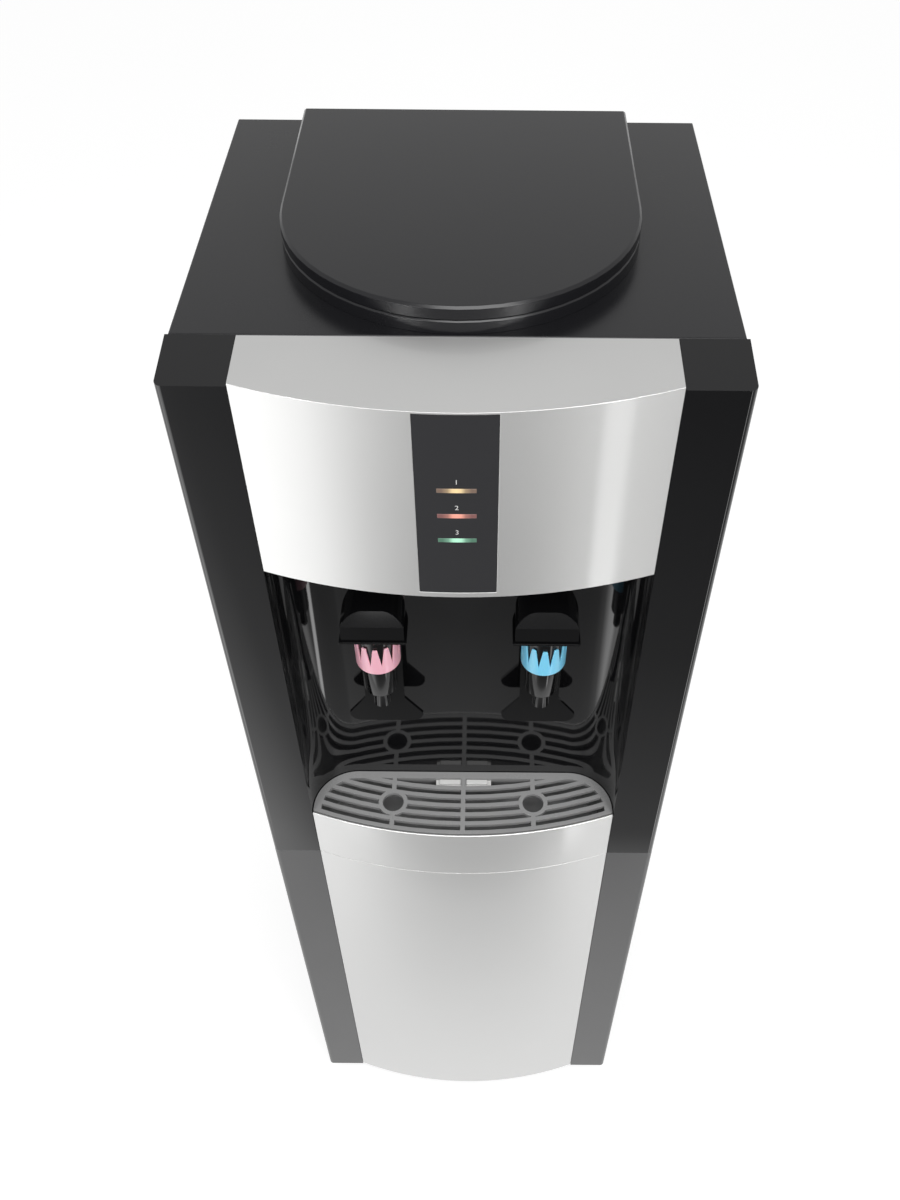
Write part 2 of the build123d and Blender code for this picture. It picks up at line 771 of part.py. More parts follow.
def tap_collar(side):
    """Coloured clip round the tap, open behind, with teeth like a crown."""
    x = side * tap_spacing / 2
    top = barrel_z + crown_band + crown_tooth
    body = Pos(0, 0, barrel_z) * disc(crown_radius, top - barrel_z, 4 * crown_teeth)
    body -= Pos(0, 0, barrel_z - 1) * well(spout_radius + 0.15, crown_radius, 24)
    body -= Pos(0, 0, barrel_z + crown_floor) * well(barrel_radius + 0.1, top, 24)
    step = 2 * math.pi * crown_radius / crown_teeth
    notch = Polyline(
        (0, barrel_z + crown_band), (-step * 0.3, top + 1), (step * 0.3, top + 1), close=True
    )
    cutter = extrude(Plane.XZ * make_face(notch), 2 * crown_radius)
    for i in range(crown_teeth):
        body -= Rot(0, 0, 360 * (i + 0.5) / crown_teeth) * cutter
    body -= block(-crown_radius, crown_radius, crown_radius / 2, crown_radius + 1, barrel_z - 1, top + 1)
    return Pos(x, tap_y, 0) * body


def head_plan(grow):
    """Plan of the tap's head: flat front and round back."""
    front = -head_front - grow
    radius = head_half + grow
    middle = head_half - head_front - head_flat
    outline = Line((radius, middle), (radius, front))
    outline += Line((radius, front), (-radius, front))
    outline += Line((-radius, front), (-radius, middle))
    outline += ThreePointArc((-radius, middle), (0, middle + radius), (radius, middle))
    return make_face(outline)


def tap_bonnet(side):
    """Bonnet that closes the barrel: a flange, a spigot inside, and two ears for the lever's pin."""
    x = side * tap_spacing / 2
    body = extrude(Pos(0, 0, barrel_top) * head_plan(bonnet_margin), bonnet_thick)
    body -= block(-30, 30, 9.0, 30, barrel_top - 1, bonnet_top + 1)
    body += Pos(0, 0, barrel_top - 6) * disc(chamber_radius - 0.1, 6.5, 16)
    for sign in (-1, 1):
        a, b = sorted((sign * ear_inner, sign * ear_outer))
        body += block(
            a, b, -pivot_out - ear_radius, -pivot_out + ear_radius, barrel_top + 0.5, pivot_z
        )
        body += rod((a, -pivot_out, pivot_z), (b, -pivot_out, pivot_z), ear_radius, 12)
    body -= bar((-20, -pivot_out, pivot_z), (20, -pivot_out, pivot_z), pin_radius)
    body -= Pos(0, 0, barrel_top - 7) * well(stem_radius + 0.3, 12, 8)
    return Pos(x, tap_y, 0) * body


def head_block(inset):
    """The head's solid shape, or its hollow when inset: a low visor and a vault up to a flat ridge."""
    half = head_half - inset
    top = head_z + head_height - inset
    brow = head_z + visor_height - inset
    front = inset - head_front
    vault = Line((-half, head_z), (half, head_z))
    vault += Line((half, head_z), (half, brow))
    middle = (half + ridge_half) / 2
    vault += ThreePointArc((half, brow), (middle + 1.2, (brow + top) / 2 + 1.2), (ridge_half, top))
    vault += Line((ridge_half, top), (-ridge_half, top))
    vault += ThreePointArc((-ridge_half, top), (-middle - 1.2, (brow + top) / 2 + 1.2), (-half, brow))
    vault += Line((-half, brow), (-half, head_z))
    back = head_half + 1
    side_view = Polyline(
        (front, head_z), (front, brow), (front + ridge_slope, top), (back, top), (back, head_z), close=True
    )
    body = extrude(Pos(0, 0, head_z) * head_plan(-inset), head_height)
    body &= extrude(Plane.XZ * make_face(vault), 2 * head_half, both=True)
    return body & extrude(Plane.YZ * make_face(side_view), 2 * head_half, both=True)


def tap_lever(side):
    """Lever moulding: head over the bonnet, two arms past the neck, and the wide paddle behind."""
    x = side * tap_spacing / 2
    body = head_block(0) - head_block(head_wall)
    inner = head_block(head_wall / 2)
    for sign in (-1, 1):
        a, b = sorted((sign * 8.0, sign * 12.0))
        body += block(a, b, -head_front, 12.0, head_z + 1.5, head_z + head_height) & inner
        a, b = sorted((sign * 3.0, sign * 8.5))
        body += block(a, b, -2.5, 2.5, pivot_z - 4.3, pivot_z - 2.3)
        a, b = sorted((sign * arm_in, sign * arm_out))
        body += extrude(Plane.YZ.offset(a) * make_face(arm_profile()), b - a)
    body -= bar((-12.5, -pivot_out, pivot_z), (12.5, -pivot_out, pivot_z), pin_radius + pin_slip)
    body += paddle()
    return Pos(x, tap_y, 0) * body


def arm_profile():
    """Side view of one arm, from inside the head down past the neck."""
    return Polyline(
        (barrel_radius - 3.4, pivot_z + 4),
        (barrel_radius - 3.4, barrel_z + 11),
        (stem_back, barrel_z + 11),
        (stem_back, barrel_top - 9),
        (barrel_radius - 0.3, head_z + 1),
        (barrel_radius - 0.3, pivot_z + 4),
        close=True,
    )


def paddle():
    """Stem under the neck and the paddle that a cup pushes, curving forward below the spout."""
    low = tip_z - paddle_drop
    web_top = neck_z - neck_radius - web_room
    inner = stem_back - paddle_thick
    near = spout_radius + 0.7
    side_view = Polyline(
        (inner, web_top),
        (inner, barrel_z + 3),
        (near, spout_z + 2),
        (near, low),
        (near + paddle_thick, low),
        (near + paddle_thick, spout_z + 1),
        (stem_back, barrel_z + 2),
        (stem_back, web_top),
        close=True,
    )
    slab = extrude(Plane.YZ * make_face(side_view), paddle_half + 1, both=True)
    fan = low + paddle_height
    mid = low + paddle_side
    turn = paddle_half - 0.25 * paddle_corner
    flat = paddle_half - paddle_corner
    outline = Line((-arm_out, web_top), (-stem_half, barrel_z))
    outline += Line((-stem_half, barrel_z), (-stem_half, fan))
    outline += Line((-stem_half, fan), (-paddle_half, mid))
    outline += ThreePointArc((-paddle_half, mid), (-turn, low + 0.3 * paddle_side), (-flat, low))
    outline += Line((-flat, low), (0, low))
    outline += Line((0, low), (0, web_top))
    outline += Line((0, web_top), (-arm_out, web_top))
    half_face = make_face(outline)
    face = half_face + mirror(half_face, about=Plane.YZ)
    shape = extrude(Plane.XZ * face, 40, both=True)
    return slab & shape


def tap_plunger(side):
    """Valve plunger: a T-shaped top in the lever's fork, the stem, and the seal on the seat."""
    x = side * tap_spacing / 2
    seat_z = barrel_z + 7
    body = Pos(0, 0, seat_z + 0.2) * disc(stem_radius, pivot_z - seat_z, 8)
    body += rod((-7.5, 0, pivot_z), (7.5, 0, pivot_z), 2.0)
    body += Pos(0, 0, seat_z + 0.1) * disc(spout_bore + 3, 4, 16)
    body += Pos(0, 0, seat_z + 3) * disc(stem_radius + 1.5, 6, 8)
    return Pos(x, tap_y, 0) * body


def winding(radius, wire, turns, low, high, steps, sides):
    """One unbroken helix of wire, lofted through small polygons."""
    sections = []
    count = int(turns * steps)
    slope = (high - low) / (2 * math.pi * radius * turns)
    for i in range(count + 1):
        angle = 2 * math.pi * i / steps
        spot = (radius * math.cos(angle), radius * math.sin(angle), low + (high - low) * i / count)
        along = (-math.sin(angle), math.cos(angle), slope)
        out = (math.cos(angle), math.sin(angle), 0)
        sections.append(Plane(origin=spot, x_dir=out, z_dir=along) * wire(sides))
    return loft(sections, ruled=True)


def tap_spring(side):
    """Return spring between the plunger's shoulder and the bonnet."""
    low = barrel_z + 7 + 4.1 + 0.7
    high = barrel_top - 6 - 0.7
    turns = 4.5
    pitch = (high - low) / turns
    print("tap spring least gap", round(pitch - 2 * 0.6, 2))
    spring = winding(6.6, lambda n: RegularPolygon(0.6, n), turns, low, high, 8, 4)
    return Pos(side * tap_spacing / 2, tap_y, 0) * spring


def tap_pins():
    """Pivot pins of both levers."""
    group = []
    for side in (-1, 1):
        x = side * tap_spacing / 2
        group.append(bar((x - 16.4, pivot_y, pivot_z), (x + 16.4, pivot_y, pivot_z), pin_radius))
    return Compound(group)


def tap_washers():
    """Rubber washers between the taps' flanges and the recess's wall."""
    group = []
    for side in (-1, 1):
        x = side * tap_spacing / 2
        ring = rod((x, recess_back - washer_thick, neck_z), (x, recess_back, neck_z), crown_radius - 1, 16)
        ring -= drill((x, recess_back - 3, neck_z), (x, recess_back + 1, neck_z), neck_radius)
        group.append(ring)
    return Compound(group)


def tap_nuts():
    """Hexagon nuts that clamp the taps from behind the wall."""
    group = []
    start = recess_back + wall
    for side in (-1, 1):
        x = side * tap_spacing / 2
        face = Plane(origin=(x, start, neck_z), z_dir=(0, 1, 0))
        hexagon = face * RegularPolygon(nut_flats / 2, 6, major_radius=False)
        nut = extrude(hexagon, nut_thick)
        nut -= drill((x, start - 1, neck_z), (x, start + nut_thick + 1, neck_z), neck_radius - 0.25, 16)
        group.append(nut)
    return Compound(group)


def drip_tray():
    """Lift-out tray, the shape of the recess's floor."""
    low = pocket_z + 0.3
    high = z_apron - grille_thick
    outer = recess_plan(fit_gap, silver + fit_gap)
    inner = recess_plan(fit_gap + tray_wall, silver + fit_gap + tray_wall)
    return rise(outer, low, high - 0.3) - rise(inner, low + tray_wall, high)


def row_plan(offset, slot):
    """One row of slots: a bowed band across the grille, clipped to its rim."""
    edges = []
    for bow in (bow_radius - offset + slot / 2, bow_radius - offset - slot / 2):
        side = bow_centre - math.sqrt(bow**2 - width**2 / 4)
        edges.append(stepped((-width / 2, side), (0, bow_centre - bow), (width / 2, side), slot_steps))
    outline = edges[0] + edges[1]
    outline += Line(edges[0] @ 0, edges[1] @ 0)
    outline += Line(edges[0] @ 1, edges[1] @ 1)
    return make_face(outline) & recess_plan(grille_rim, silver + fit_gap + grille_rim / 2)


def drip_grille():
    """Grille over the tray: bowed slots, three ribs and two round drip openings."""
    low = z_apron - grille_thick
    plan = recess_plan(fit_gap, silver + fit_gap)
    first_row = silver + fit_gap + grille_rim / 2 + slot_width / 2
    slots = Sketch()
    for i in range(slot_rows):
        slots += row_plan(first_row + i * slot_pitch, slot_width)
    last_row = first_row + (slot_rows - 1) * slot_pitch
    bar_left = slot_pitch - slot_width
    slots += row_plan(last_row + slot_width / 2 + bar_left + back_slot_width / 2, back_slot_width)
    for x in (-tap_spacing / 2, 0, tap_spacing / 2):
        slots -= Pos(x, tap_y) * Rectangle(grille_rib, 4 * recess_depth)
    for x in (-tap_spacing / 2, tap_spacing / 2):
        slots -= Pos(x, tap_y) * Circle(drip_ring)
        slots += Pos(x, tap_y) * Circle(drip_hole)
    body = rise(plan, low, z_apron) - rise(slots, low - 1, z_apron + 1)
    rim_gap = fit_gap + tray_wall + fit_gap
    rim_front = silver + rim_gap
    rim = recess_plan(rim_gap, rim_front) - recess_plan(rim_gap + 1.5, rim_front + 1.5)
    return body + rise(rim, low - 5, low + 1)


def grille_catch():
    """Pale catch bar under the grille, with two pads that show through its back row of slots."""
    low = z_apron - grille_thick
    back = recess_back - grille_rim
    body = block(-catch_half - 3, catch_half + 3, back - catch_depth - 2, back + 1, low - 3, low)
    for sign in (-1, 1):
        a, b = sorted((sign * (grille_rib / 2 + fit_gap), sign * catch_half))
        body += block(a, b, back - catch_depth, back - fit_gap, low - 1, z_apron - 0.8)
    return body


def tank_insulation():
    """Foam block round the cold tank, in a front half and a rear half."""
    top = tank_top - tank_wall
    group = []
    for side in (-1, 1):
        near, far = sorted((tank_y + side * seam / 2, tank_y + side * foam_half_y))
        half = block(-foam_half_x, foam_half_x, near, far, shelf_z + seam, top)
        half -= Pos(0, tank_y, tank_z - seam) * well(foam_bore, tank_height)
        half -= Pos(0, tank_y, shelf_z) * well(hose_radius + 3, tank_floor_rise, 8)
        for end, z in ((1, coil_low), (-1, coil_high)):
            half -= drill((end * foam_bore / 2, tank_y, z), (end * width, tank_y, z), tube_radius + 1)
        front = tank_y - foam_half_y
        if side < 0:
            cold_x = tap_spacing / 2
            half -= drill((cold_x, front - 1, neck_z), (cold_x, tank_y, neck_z), hose_radius + 2)
            half -= block(
                -cold_x - 8, -cold_x + 8, front - 1, hot_hose_y + 8, shelf_z, neck_z + 10
            )
        else:
            half -= block(-12, 12, tank_y + tank_radius / 2, width, valve_z - 15, top + 1)
        group.append(half)
    return Compound(group)


def cold_tank():
    """Spun steel tank, open at the top, with a flange on the foam and two outlets."""
    body = Pos(0, tank_y, tank_z) * disc(tank_radius, tank_height)
    body += Pos(0, tank_y, tank_top - tank_wall) * disc(tank_radius + 15, tank_wall)
    stub_x = tap_spacing / 2
    wall_y = tank_y - math.sqrt(tank_radius**2 - (stub_x + stub_radius) ** 2)
    stub_end = tank_y - foam_half_y + 6
    body += rod((0, tank_y, tank_z + tank_wall), (0, tank_y, shelf_z + 4), stub_radius)
    body -= Pos(0, tank_y, tank_z + tank_wall) * disc(tank_radius - tank_wall, tank_height)
    body += rod((stub_x, wall_y + 1, neck_z), (stub_x, stub_end, neck_z), stub_radius)
    body -= rod((stub_x, wall_y + 9, neck_z), (stub_x, stub_end - 1, neck_z), stub_bore)
    body -= rod((0, tank_y, tank_z + 9), (0, tank_y, shelf_z), stub_bore)
    return body - drill((0, tank_y + tank_radius / 2, valve_z), (0, rear_y, valve_z), valve_hole)


def evaporator_coil():
    """Evaporator tube wound on the cold tank."""
    radius = (tank_radius + foam_bore) / 2 + 0.3
    pitch = (coil_high - coil_low) / coil_turns
    print("evaporator coil least gap", round(pitch - coil_thick, 2))
    tube = winding(
        radius, lambda n: RegularPolygon(coil_thick / 2, n), coil_turns, coil_low, coil_high, 20, 4
    )
    return Pos(0, tank_y, 0) * tube


def float_valve():
    """Valve through the tank's wall: body, nut, clevis with its pin, and an elbow for the hose."""
    inner_y = tank_y + (tank_radius - tank_wall) * math.cos(math.pi / round_sides) - 0.8
    outer_y = tank_y + tank_radius + 0.1
    thread = valve_hole - 0.2
    body = rod((0, float_y + 2, valve_z), (0, inner_y, valve_z), 5.0)
    body += rod((0, inner_y - 3, valve_z), (0, inner_y, valve_z), valve_flange, 12)
    body += rod((0, inner_y - 1, valve_z), (0, hose_back_y + thread, valve_z), thread)
    body += rod((0, outer_y, valve_z), (0, outer_y + 4, valve_z), valve_flange, 6)
    body += rod((0, hose_back_y, valve_z), (27, hose_back_y, valve_z), stub_radius)
    for sign in (-1, 1):
        a, b = sorted((sign * float_fork, sign * (float_fork + 2)))
        body += block(a, b, float_y - 5, float_y + 9, float_z - 4, valve_z)
    end = float_fork + 2.5
    return body + bar((-end, float_y, float_z), (end, float_y, float_z), pin_radius)


def float_arm():
    """Float: an eye on the valve's pin, a rod and a closed drum."""
    middle = (0, float_y - float_reach, float_z - float_drop)
    half = float_fork - 0.3
    body = rod((-half, float_y, float_z), (half, float_y, float_z), 4.0, 12)
    body += rod((0, float_y, float_z), middle, 2.0)
    half_drum = float_height / 2
    drum = turned(
        [
            (float_radius - 4, -half_drum),
            (float_radius, 4 - half_drum),
            (float_radius, half_drum - 4),
            (float_radius - 4, half_drum),
        ],
        20,
    )
    body += Pos(*middle) * drum
    hole = pin_radius + pin_slip
    return body - bar((-half - 1, float_y, float_z), (half + 1, float_y, float_z), hole)


def hot_outlets():
    """Where the hot tank's outlet and its feed stand on the tank's top."""
    return [(-20.0, hot_y), (25.0, hot_y)]


def thermostat_places():
    """Where the two thermostats sit on the hot tank."""
    return [(0.0, hot_y - 32.0), (0.0, hot_y + 32.0)]


def hot_tank():
    """Closed steel tank with two outlets on top and a drain below."""
    inside = hot_radius - tank_wall
    body = Pos(0, hot_y, hot_z) * disc(hot_radius, hot_height)
    body -= Pos(0, hot_y, hot_z + tank_wall) * disc(inside, hot_height - 2 * tank_wall)
    top = hot_z + hot_height
    for x, y in hot_outlets():
        body += rod((x, y, top - tank_wall), (x, y, hot_foam_top + 4), stub_radius)
        body -= rod((x, y, top - 3), (x, y, hot_foam_top + 5), stub_bore)
    body += rod((0, hot_y, hot_z + tank_wall), (0, hot_y, low_shelf_z + 3), stub_radius)
    return body - rod((0, hot_y, hot_z + 3), (0, hot_y, low_shelf_z), stub_bore)


def hot_insulation():
    """Foam jacket round the hot tank, in two halves, open over the outlets and thermostats."""
    group = []
    for side in (-1, 1):
        low = low_shelf_z + seam
        half = Pos(0, hot_y, low) * disc(hot_radius + hot_foam, hot_foam_top - low)
        near, far = sorted((hot_y + side * seam / 2, hot_y + side * width))
        half &= block(-width, width, near, far, low, hot_foam_top)
        half -= Pos(0, hot_y, hot_z - seam) * well(hot_radius + seam, hot_height + 2 * seam)
        half -= Pos(0, hot_y, low - 1) * well(hose_radius + 3, hot_rise + 1, 8)
        for x, y in hot_outlets():
            half -= Pos(x, y, hot_z + hot_height) * well(hose_radius + 2, hot_foam_top, 8)
        for x, y in thermostat_places():
            half -= Pos(x, y, hot_z + hot_height) * well(thermostat_radius + 2, hot_foam_top, 12)
        group.append(half)
    return Compound(group)


def thermostats():
    """Two disc thermostats on the hot tank, each with a pair of flat terminals."""
    group = []
    top = hot_z + hot_height
    for x, y in thermostat_places():
        can = Pos(x, y, top) * disc(thermostat_radius, 7, 16)
        can += Pos(x, y, top + 7) * disc(thermostat_radius - 2, 2, 16)
        for sign in (-1, 1):
            tab_x = x + sign * 3.5
            can += block(tab_x - 0.4, tab_x + 0.4, y - 2.5, y + 2.5, top + 8, top + 16)
        group.append(can)
    return Compound(group)


def compressor():
    """Hermetic compressor: a domed shell with its seam, foot plate, stubs and terminal box."""
    low = plate_z
    high = low + compressor_height
    shell = turned(
        [
            (compressor_radius - 9, 0),
            (compressor_radius, 12),
            (compressor_radius, compressor_height - 28),
            (compressor_radius - 7, compressor_height - 12),
            (compressor_radius - 28, compressor_height),
        ],
        24,
    )
    shell += Pos(0, 0, seam_height) * disc(compressor_radius + 2.5, 4, 24)
    shell = Pos(0, compressor_y, low) * shell
    plate_x = mount_x + 12
    plate_y = mount_y + 12
    plate = block(
        -plate_x, plate_x, compressor_y - plate_y, compressor_y + plate_y, low, low + plate_thick
    )
    plate = chamfer(plate.edges().filter_by(Axis.Z), 8)
    for x, y in mount_places():
        plate -= Pos(x, y, low - 1) * well(bolt_radius + 0.2, plate_thick + 2, 8)
    body = shell + plate
    body += rod((discharge_x, compressor_y + 30, port_z), (discharge_x, discharge_y, port_z), 4)
    body += rod((30, compressor_y, port_z), (suction_x, compressor_y, port_z), 4)
    body += block(
        -compressor_radius - 16, -30, compressor_y - 20, compressor_y + 20, low + 35, high - 45
    )
    return body


def mount_places():
    """Where the compressor's four rubber mounts stand."""
    return [(x, compressor_y + y) for x in (-mount_x, mount_x) for y in (-mount_y, mount_y)]


def compressor_mounts():
    """Four waisted rubber mounts under the compressor's foot plate."""
    low = z_base + base_sheet
    flange_height = grommet_height / 3
    mount = Pos(0, 0, low) * disc(grommet_radius, flange_height, 10)
    mount += Pos(0, 0, low) * disc(grommet_radius - 2.5, grommet_height, 10)
    mount += Pos(0, 0, low + 2 * flange_height) * disc(grommet_radius, flange_height, 10)
    mount -= Pos(0, 0, low) * well(bolt_radius + 0.1, grommet_height, 8)
    return Compound([Pos(x, y, 0) * mount for x, y in mount_places()])


def pass_heights():
    """Heights of the condenser's level runs, top one first."""
    return [top_pass_z - i * pass_pitch for i in range(pass_count)]


def condenser_coil():
    """Condenser tube behind the cabinet: a riser, then level runs joined by tight bends."""
    points = [(riser_x, condenser_y, condenser_low), (riser_x, condenser_y, top_pass_z)]
    side = -1
    for i, z in enumerate(pass_heights()):
        if i > 0:
            points.append((-side * pass_half, condenser_y, z))
        points.append((side * pass_half, condenser_y, z))
        side = -side
    points.append((-pass_half, condenser_y, condenser_low))
    bends = [pass_pitch / 2 - 0.5] * len(points)
    return pipe(points, tube_radius, bends, sides=tube_sides)


def condenser_wires():
    """Upright wires welded to both faces of the condenser's tube."""
    group = []
    low = pass_heights()[-1] - 10
    high = top_pass_z + 12
    for i in range(wire_count):
        x = (i - (wire_count - 1) / 2) * wire_pitch
        for sign in (-1, 1):
            y = condenser_y + sign * (tube_radius + wire_radius + 0.02)
            group.append(rod((x, y, low), (x, y, high), wire_radius, 4))
    return Compound(group)


def condenser_brackets():
    """Four stand-off blocks that hold the condenser's tube to the back panel."""
    group = []
    heights = pass_heights()
    for side in (-1, 1):
        a, b = sorted((side * bracket_in, side * bracket_out))
        for z in (heights[1], heights[-2]):
            clip = block(a, b, cabinet_back, rear_y, z - 7, z + 7)
            clip = chamfer(clip.edges().filter_by(Axis.X).group_by(Axis.Y)[-1], 3)
            hole = drill((a - 1, condenser_y, z), (b + 1, condenser_y, z), tube_radius + 0.05)
            group.append(clip - hole)
    return Compound(group)


def refrigerant_lines():
    """Three lines: hot gas to the condenser, liquid through the drier, and suction from the coil."""
    bends = [8.0] * 6
    low_z = z_base + low_line_rise
    step_x = line_x - low_line_step
    gas = [
        (discharge_x, discharge_y, port_z),
        (discharge_x, condenser_y, port_z),
        (riser_x, condenser_y, port_z),
        (riser_x, condenser_y, condenser_low),
    ]
    liquid = [
        (-pass_half, condenser_y, condenser_low),
        (-pass_half, condenser_y, low_z),
        (-step_x, condenser_y, low_z),
        (-step_x, line_y, low_z),
        (-line_x, line_y, low_z),
        (-line_x, line_y, coil_high),
        (-line_x, tank_y, coil_high),
        (-foam_bore, tank_y, coil_high),
    ]
    suction = [
        (suction_x, compressor_y, port_z),
        (line_x, compressor_y, port_z),
        (line_x, line_y, port_z),
        (line_x, line_y, coil_low),
        (line_x, tank_y, coil_low),
        (foam_bore, tank_y, coil_low),
    ]
    lines = [pipe(points, tube_radius, bends, sides=tube_sides) for points in (gas, liquid, suction)]
    full = drier_length - drier_cone
    end = tube_radius + 0.5
    drier = turned([(end, 0), (drier_radius, drier_cone), (drier_radius, full), (end, drier_length)], 12)
    lines[1] += Pos(-pass_half, condenser_y, condenser_low - drier_drop - drier_length) * drier
    return Compound(lines)


def switch_heights():
    """Heights of the two rocker switches, hot one first."""
    return [switch_z + switch_pitch / 2, switch_z - switch_pitch / 2]


def switch_bodies():
    """Two switch housings clipped in the back panel, each with its bezel and rocker well."""
    group = []
    for z in switch_heights():
        body = block(-6.5, 6.5, cabinet_back - switch_deep, cabinet_back + 0.5, z - 9.5, z + 9.5)
        body += block(-7.5, 7.5, cabinet_back, cabinet_back + 2, z - 10.5, z + 10.5)
        well = rocker_half + 0.3
        body -= block(-well, well, cabinet_back - 7, cabinet_back + 3, z - 8, z + 8)
        body -= drill((-8, rocker_y, z), (8, rocker_y, z), rocker_pin + pin_slip)
        for sign in (-1, 1):
            tab_z = z + sign * 5
            body += block(-3, 3, cabinet_back - switch_deep - 7, cabinet_back - 15, tab_z - 0.4, tab_z + 0.4)
        group.append(Pos(switch_x, 0, 0) * body)
    return Compound(group)


def rocker(index):
    """Rocker of one switch, tilted to its off side, with its two trunnions."""
    rise_y = rocker_edge * math.tan(math.radians(rocker_throw / 2))
    side_view = Polyline(
        (2.5, 0),
        (2.5 + rise_y, rocker_edge),
        (-2.0, rocker_edge - 1.2),
        (-3.0, 0),
        (-2.0, -rocker_edge + 1.2),
        (2.5 + rise_y, -rocker_edge),
        close=True,
    )
    body = extrude(Plane.YZ * make_face(side_view), rocker_half, both=True)
    body += bar((-rocker_half - 1.1, 0, 0), (rocker_half + 1.1, 0, 0), rocker_pin)
    z = switch_heights()[index]
    return Pos(switch_x, rocker_y, z) * Rot(-rocker_throw / 2, 0, 0) * body


def panel_fitting(x, radius, inner_y):
    """Body of a fitting in the back panel: thread, hexagon flange outside and nut inside."""
    body = rod((x, inner_y, fitting_z), (x, cabinet_back + 1, fitting_z), radius, 16)
    body += rod((x, cabinet_back, fitting_z), (x, cabinet_back + 4, fitting_z), radius + 4.5, 6)
    nut_y = cabinet_back - sheet
    return body + rod((x, nut_y - 5, fitting_z), (x, nut_y, fitting_z), radius + 4.5, 6)


def cord_gland():
    """Gland where the mains lead enters, with its nut inside the panel."""
    x = -fitting_x
    body = panel_fitting(x, gland_radius, cabinet_back - 9)
    body += rod((x, cabinet_back, fitting_z), (x, cabinet_back + 13, fitting_z), gland_radius + 2, 16)
    return body - bar((x, 0, fitting_z), (x, rear_y, fitting_z), gland_bore)


def inlet_fitting():
    """Push-fit water inlet with an elbow behind the panel that turns up to the hose."""
    x = fitting_x
    elbow = inlet_radius - 1.5
    body = panel_fitting(x, inlet_radius, hose_back_y - elbow)
    body += rod((x, cabinet_back, fitting_z), (x, cabinet_back + 17, fitting_z), inlet_radius, 16)
    body += rod((x, hose_back_y, fitting_z), (x, hose_back_y, fitting_z + 14), elbow)
    body += rod((x, hose_back_y, fitting_z), (x, hose_back_y, fitting_z + 30), stub_radius)
    return body - bar((x, cabinet_back - 4, fitting_z), (x, rear_y, fitting_z), tube_bore)


def water_hoses():
    """Four silicone hoses: tank to cold tap, hot tank to hot tap, feed to the hot tank, and inlet."""
    tap_x = tap_spacing / 2
    shank_y = recess_back + wall + shank_length - 9
    under_z = shelf_z - 2 * hose_radius
    (outlet_x, outlet_y), (feed_x, feed_y) = hot_outlets()
    hose_end = hot_foam_top - 8
    cold = [(tap_x, shank_y, neck_z), (tap_x, tank_y - foam_half_y + 16, neck_z)]
    hot = [
        (-tap_x, shank_y, neck_z),
        (-tap_x, hot_hose_y, neck_z),
        (-tap_x, hot_hose_y, under_z),
        (outlet_x, outlet_y, under_z),
        (outlet_x, outlet_y, hose_end),
    ]
    feed = [
        (0, tank_y, tank_z - 8),
        (0, tank_y, under_z),
        (feed_x, feed_y, under_z),
        (feed_x, feed_y, hose_end),
    ]
    inlet = [
        (fitting_x, hose_back_y, fitting_z + 15),
        (fitting_x, hose_back_y, valve_z),
        (14, hose_back_y, valve_z),
    ]
    group = [rod(*cold, hose_radius, hose_sides) - drill(*cold, hose_bore, hose_sides)]
    for run, bends in ((hot, [22, 14, 14]), (feed, [10, 14]), (inlet, [25])):
        group.append(pipe(run, hose_radius, bends, hose_bore, hose_sides))
    return Compound(group)


def drain_pipe():
    """Drain from the hot tank to a spigot at the back, whose flange seats on the panel."""
    start = (0, hot_y, hot_z - 4)
    corner = (0, hot_y, fitting_z)
    end = (0, cabinet_back - 7, fitting_z)
    body = pipe([start, corner, end], hose_radius, [40], hose_bore, hose_sides)
    spigot = rod((0, cabinet_back - 8, fitting_z), (0, cabinet_back + 1, fitting_z), drain_neck, 12)
    spigot += rod((0, cabinet_back, fitting_z), (0, cabinet_back + 2, fitting_z), drain_neck + 3, 12)
    spigot += bar((0, cabinet_back, fitting_z), (0, drain_end - 2.5, fitting_z), drain_radius)
    way = drill((0, cabinet_back - 9, fitting_z), (0, rear_y, fitting_z), hose_bore)
    return body + (spigot - way)


def drain_cap():
    """Twelve-sided cap that slides over the drain's spigot."""
    start = (0, cabinet_back + 2.5, fitting_z)
    body = rod(start, (0, drain_end, fitting_z), drain_radius + 4, 12)
    return body - bar(start, (0, drain_end - 2, fitting_z), drain_radius + cap_slip)


def screws():
    """Casing screws from inside the cabinet, back-panel screws, and the compressor's bolts."""
    group = []
    face = casing_back + sheet
    for side in (-1, 1):
        x = side * boss_x
        for z in casing_screws(z_base, z_joint) + casing_screws(z_joint, z_top):
            shank = rod((x, face, z), (x, face - 13, z), screw_radius, 6)
            group.append(shank + rod((x, face, z), (x, face + 2.2, z), screw_head, 6))
        x = side * back_screw_x
        for z in back_screws():
            shank = rod((x, cabinet_back, z), (x, cabinet_back - 9, z), screw_radius, 6)
            group.append(shank + rod((x, cabinet_back, z), (x, cabinet_back + 2.2, z), screw_head, 6))
    plate_top = plate_z + plate_thick
    for x, y in mount_places():
        bolt = Pos(x, y, z_base - 2) * disc(bolt_radius, plate_top - z_base + 2, 8)
        group.append(bolt + Pos(x, y, plate_top) * disc(bolt_radius + 2.5, 4, 6))
    return Compound(group)


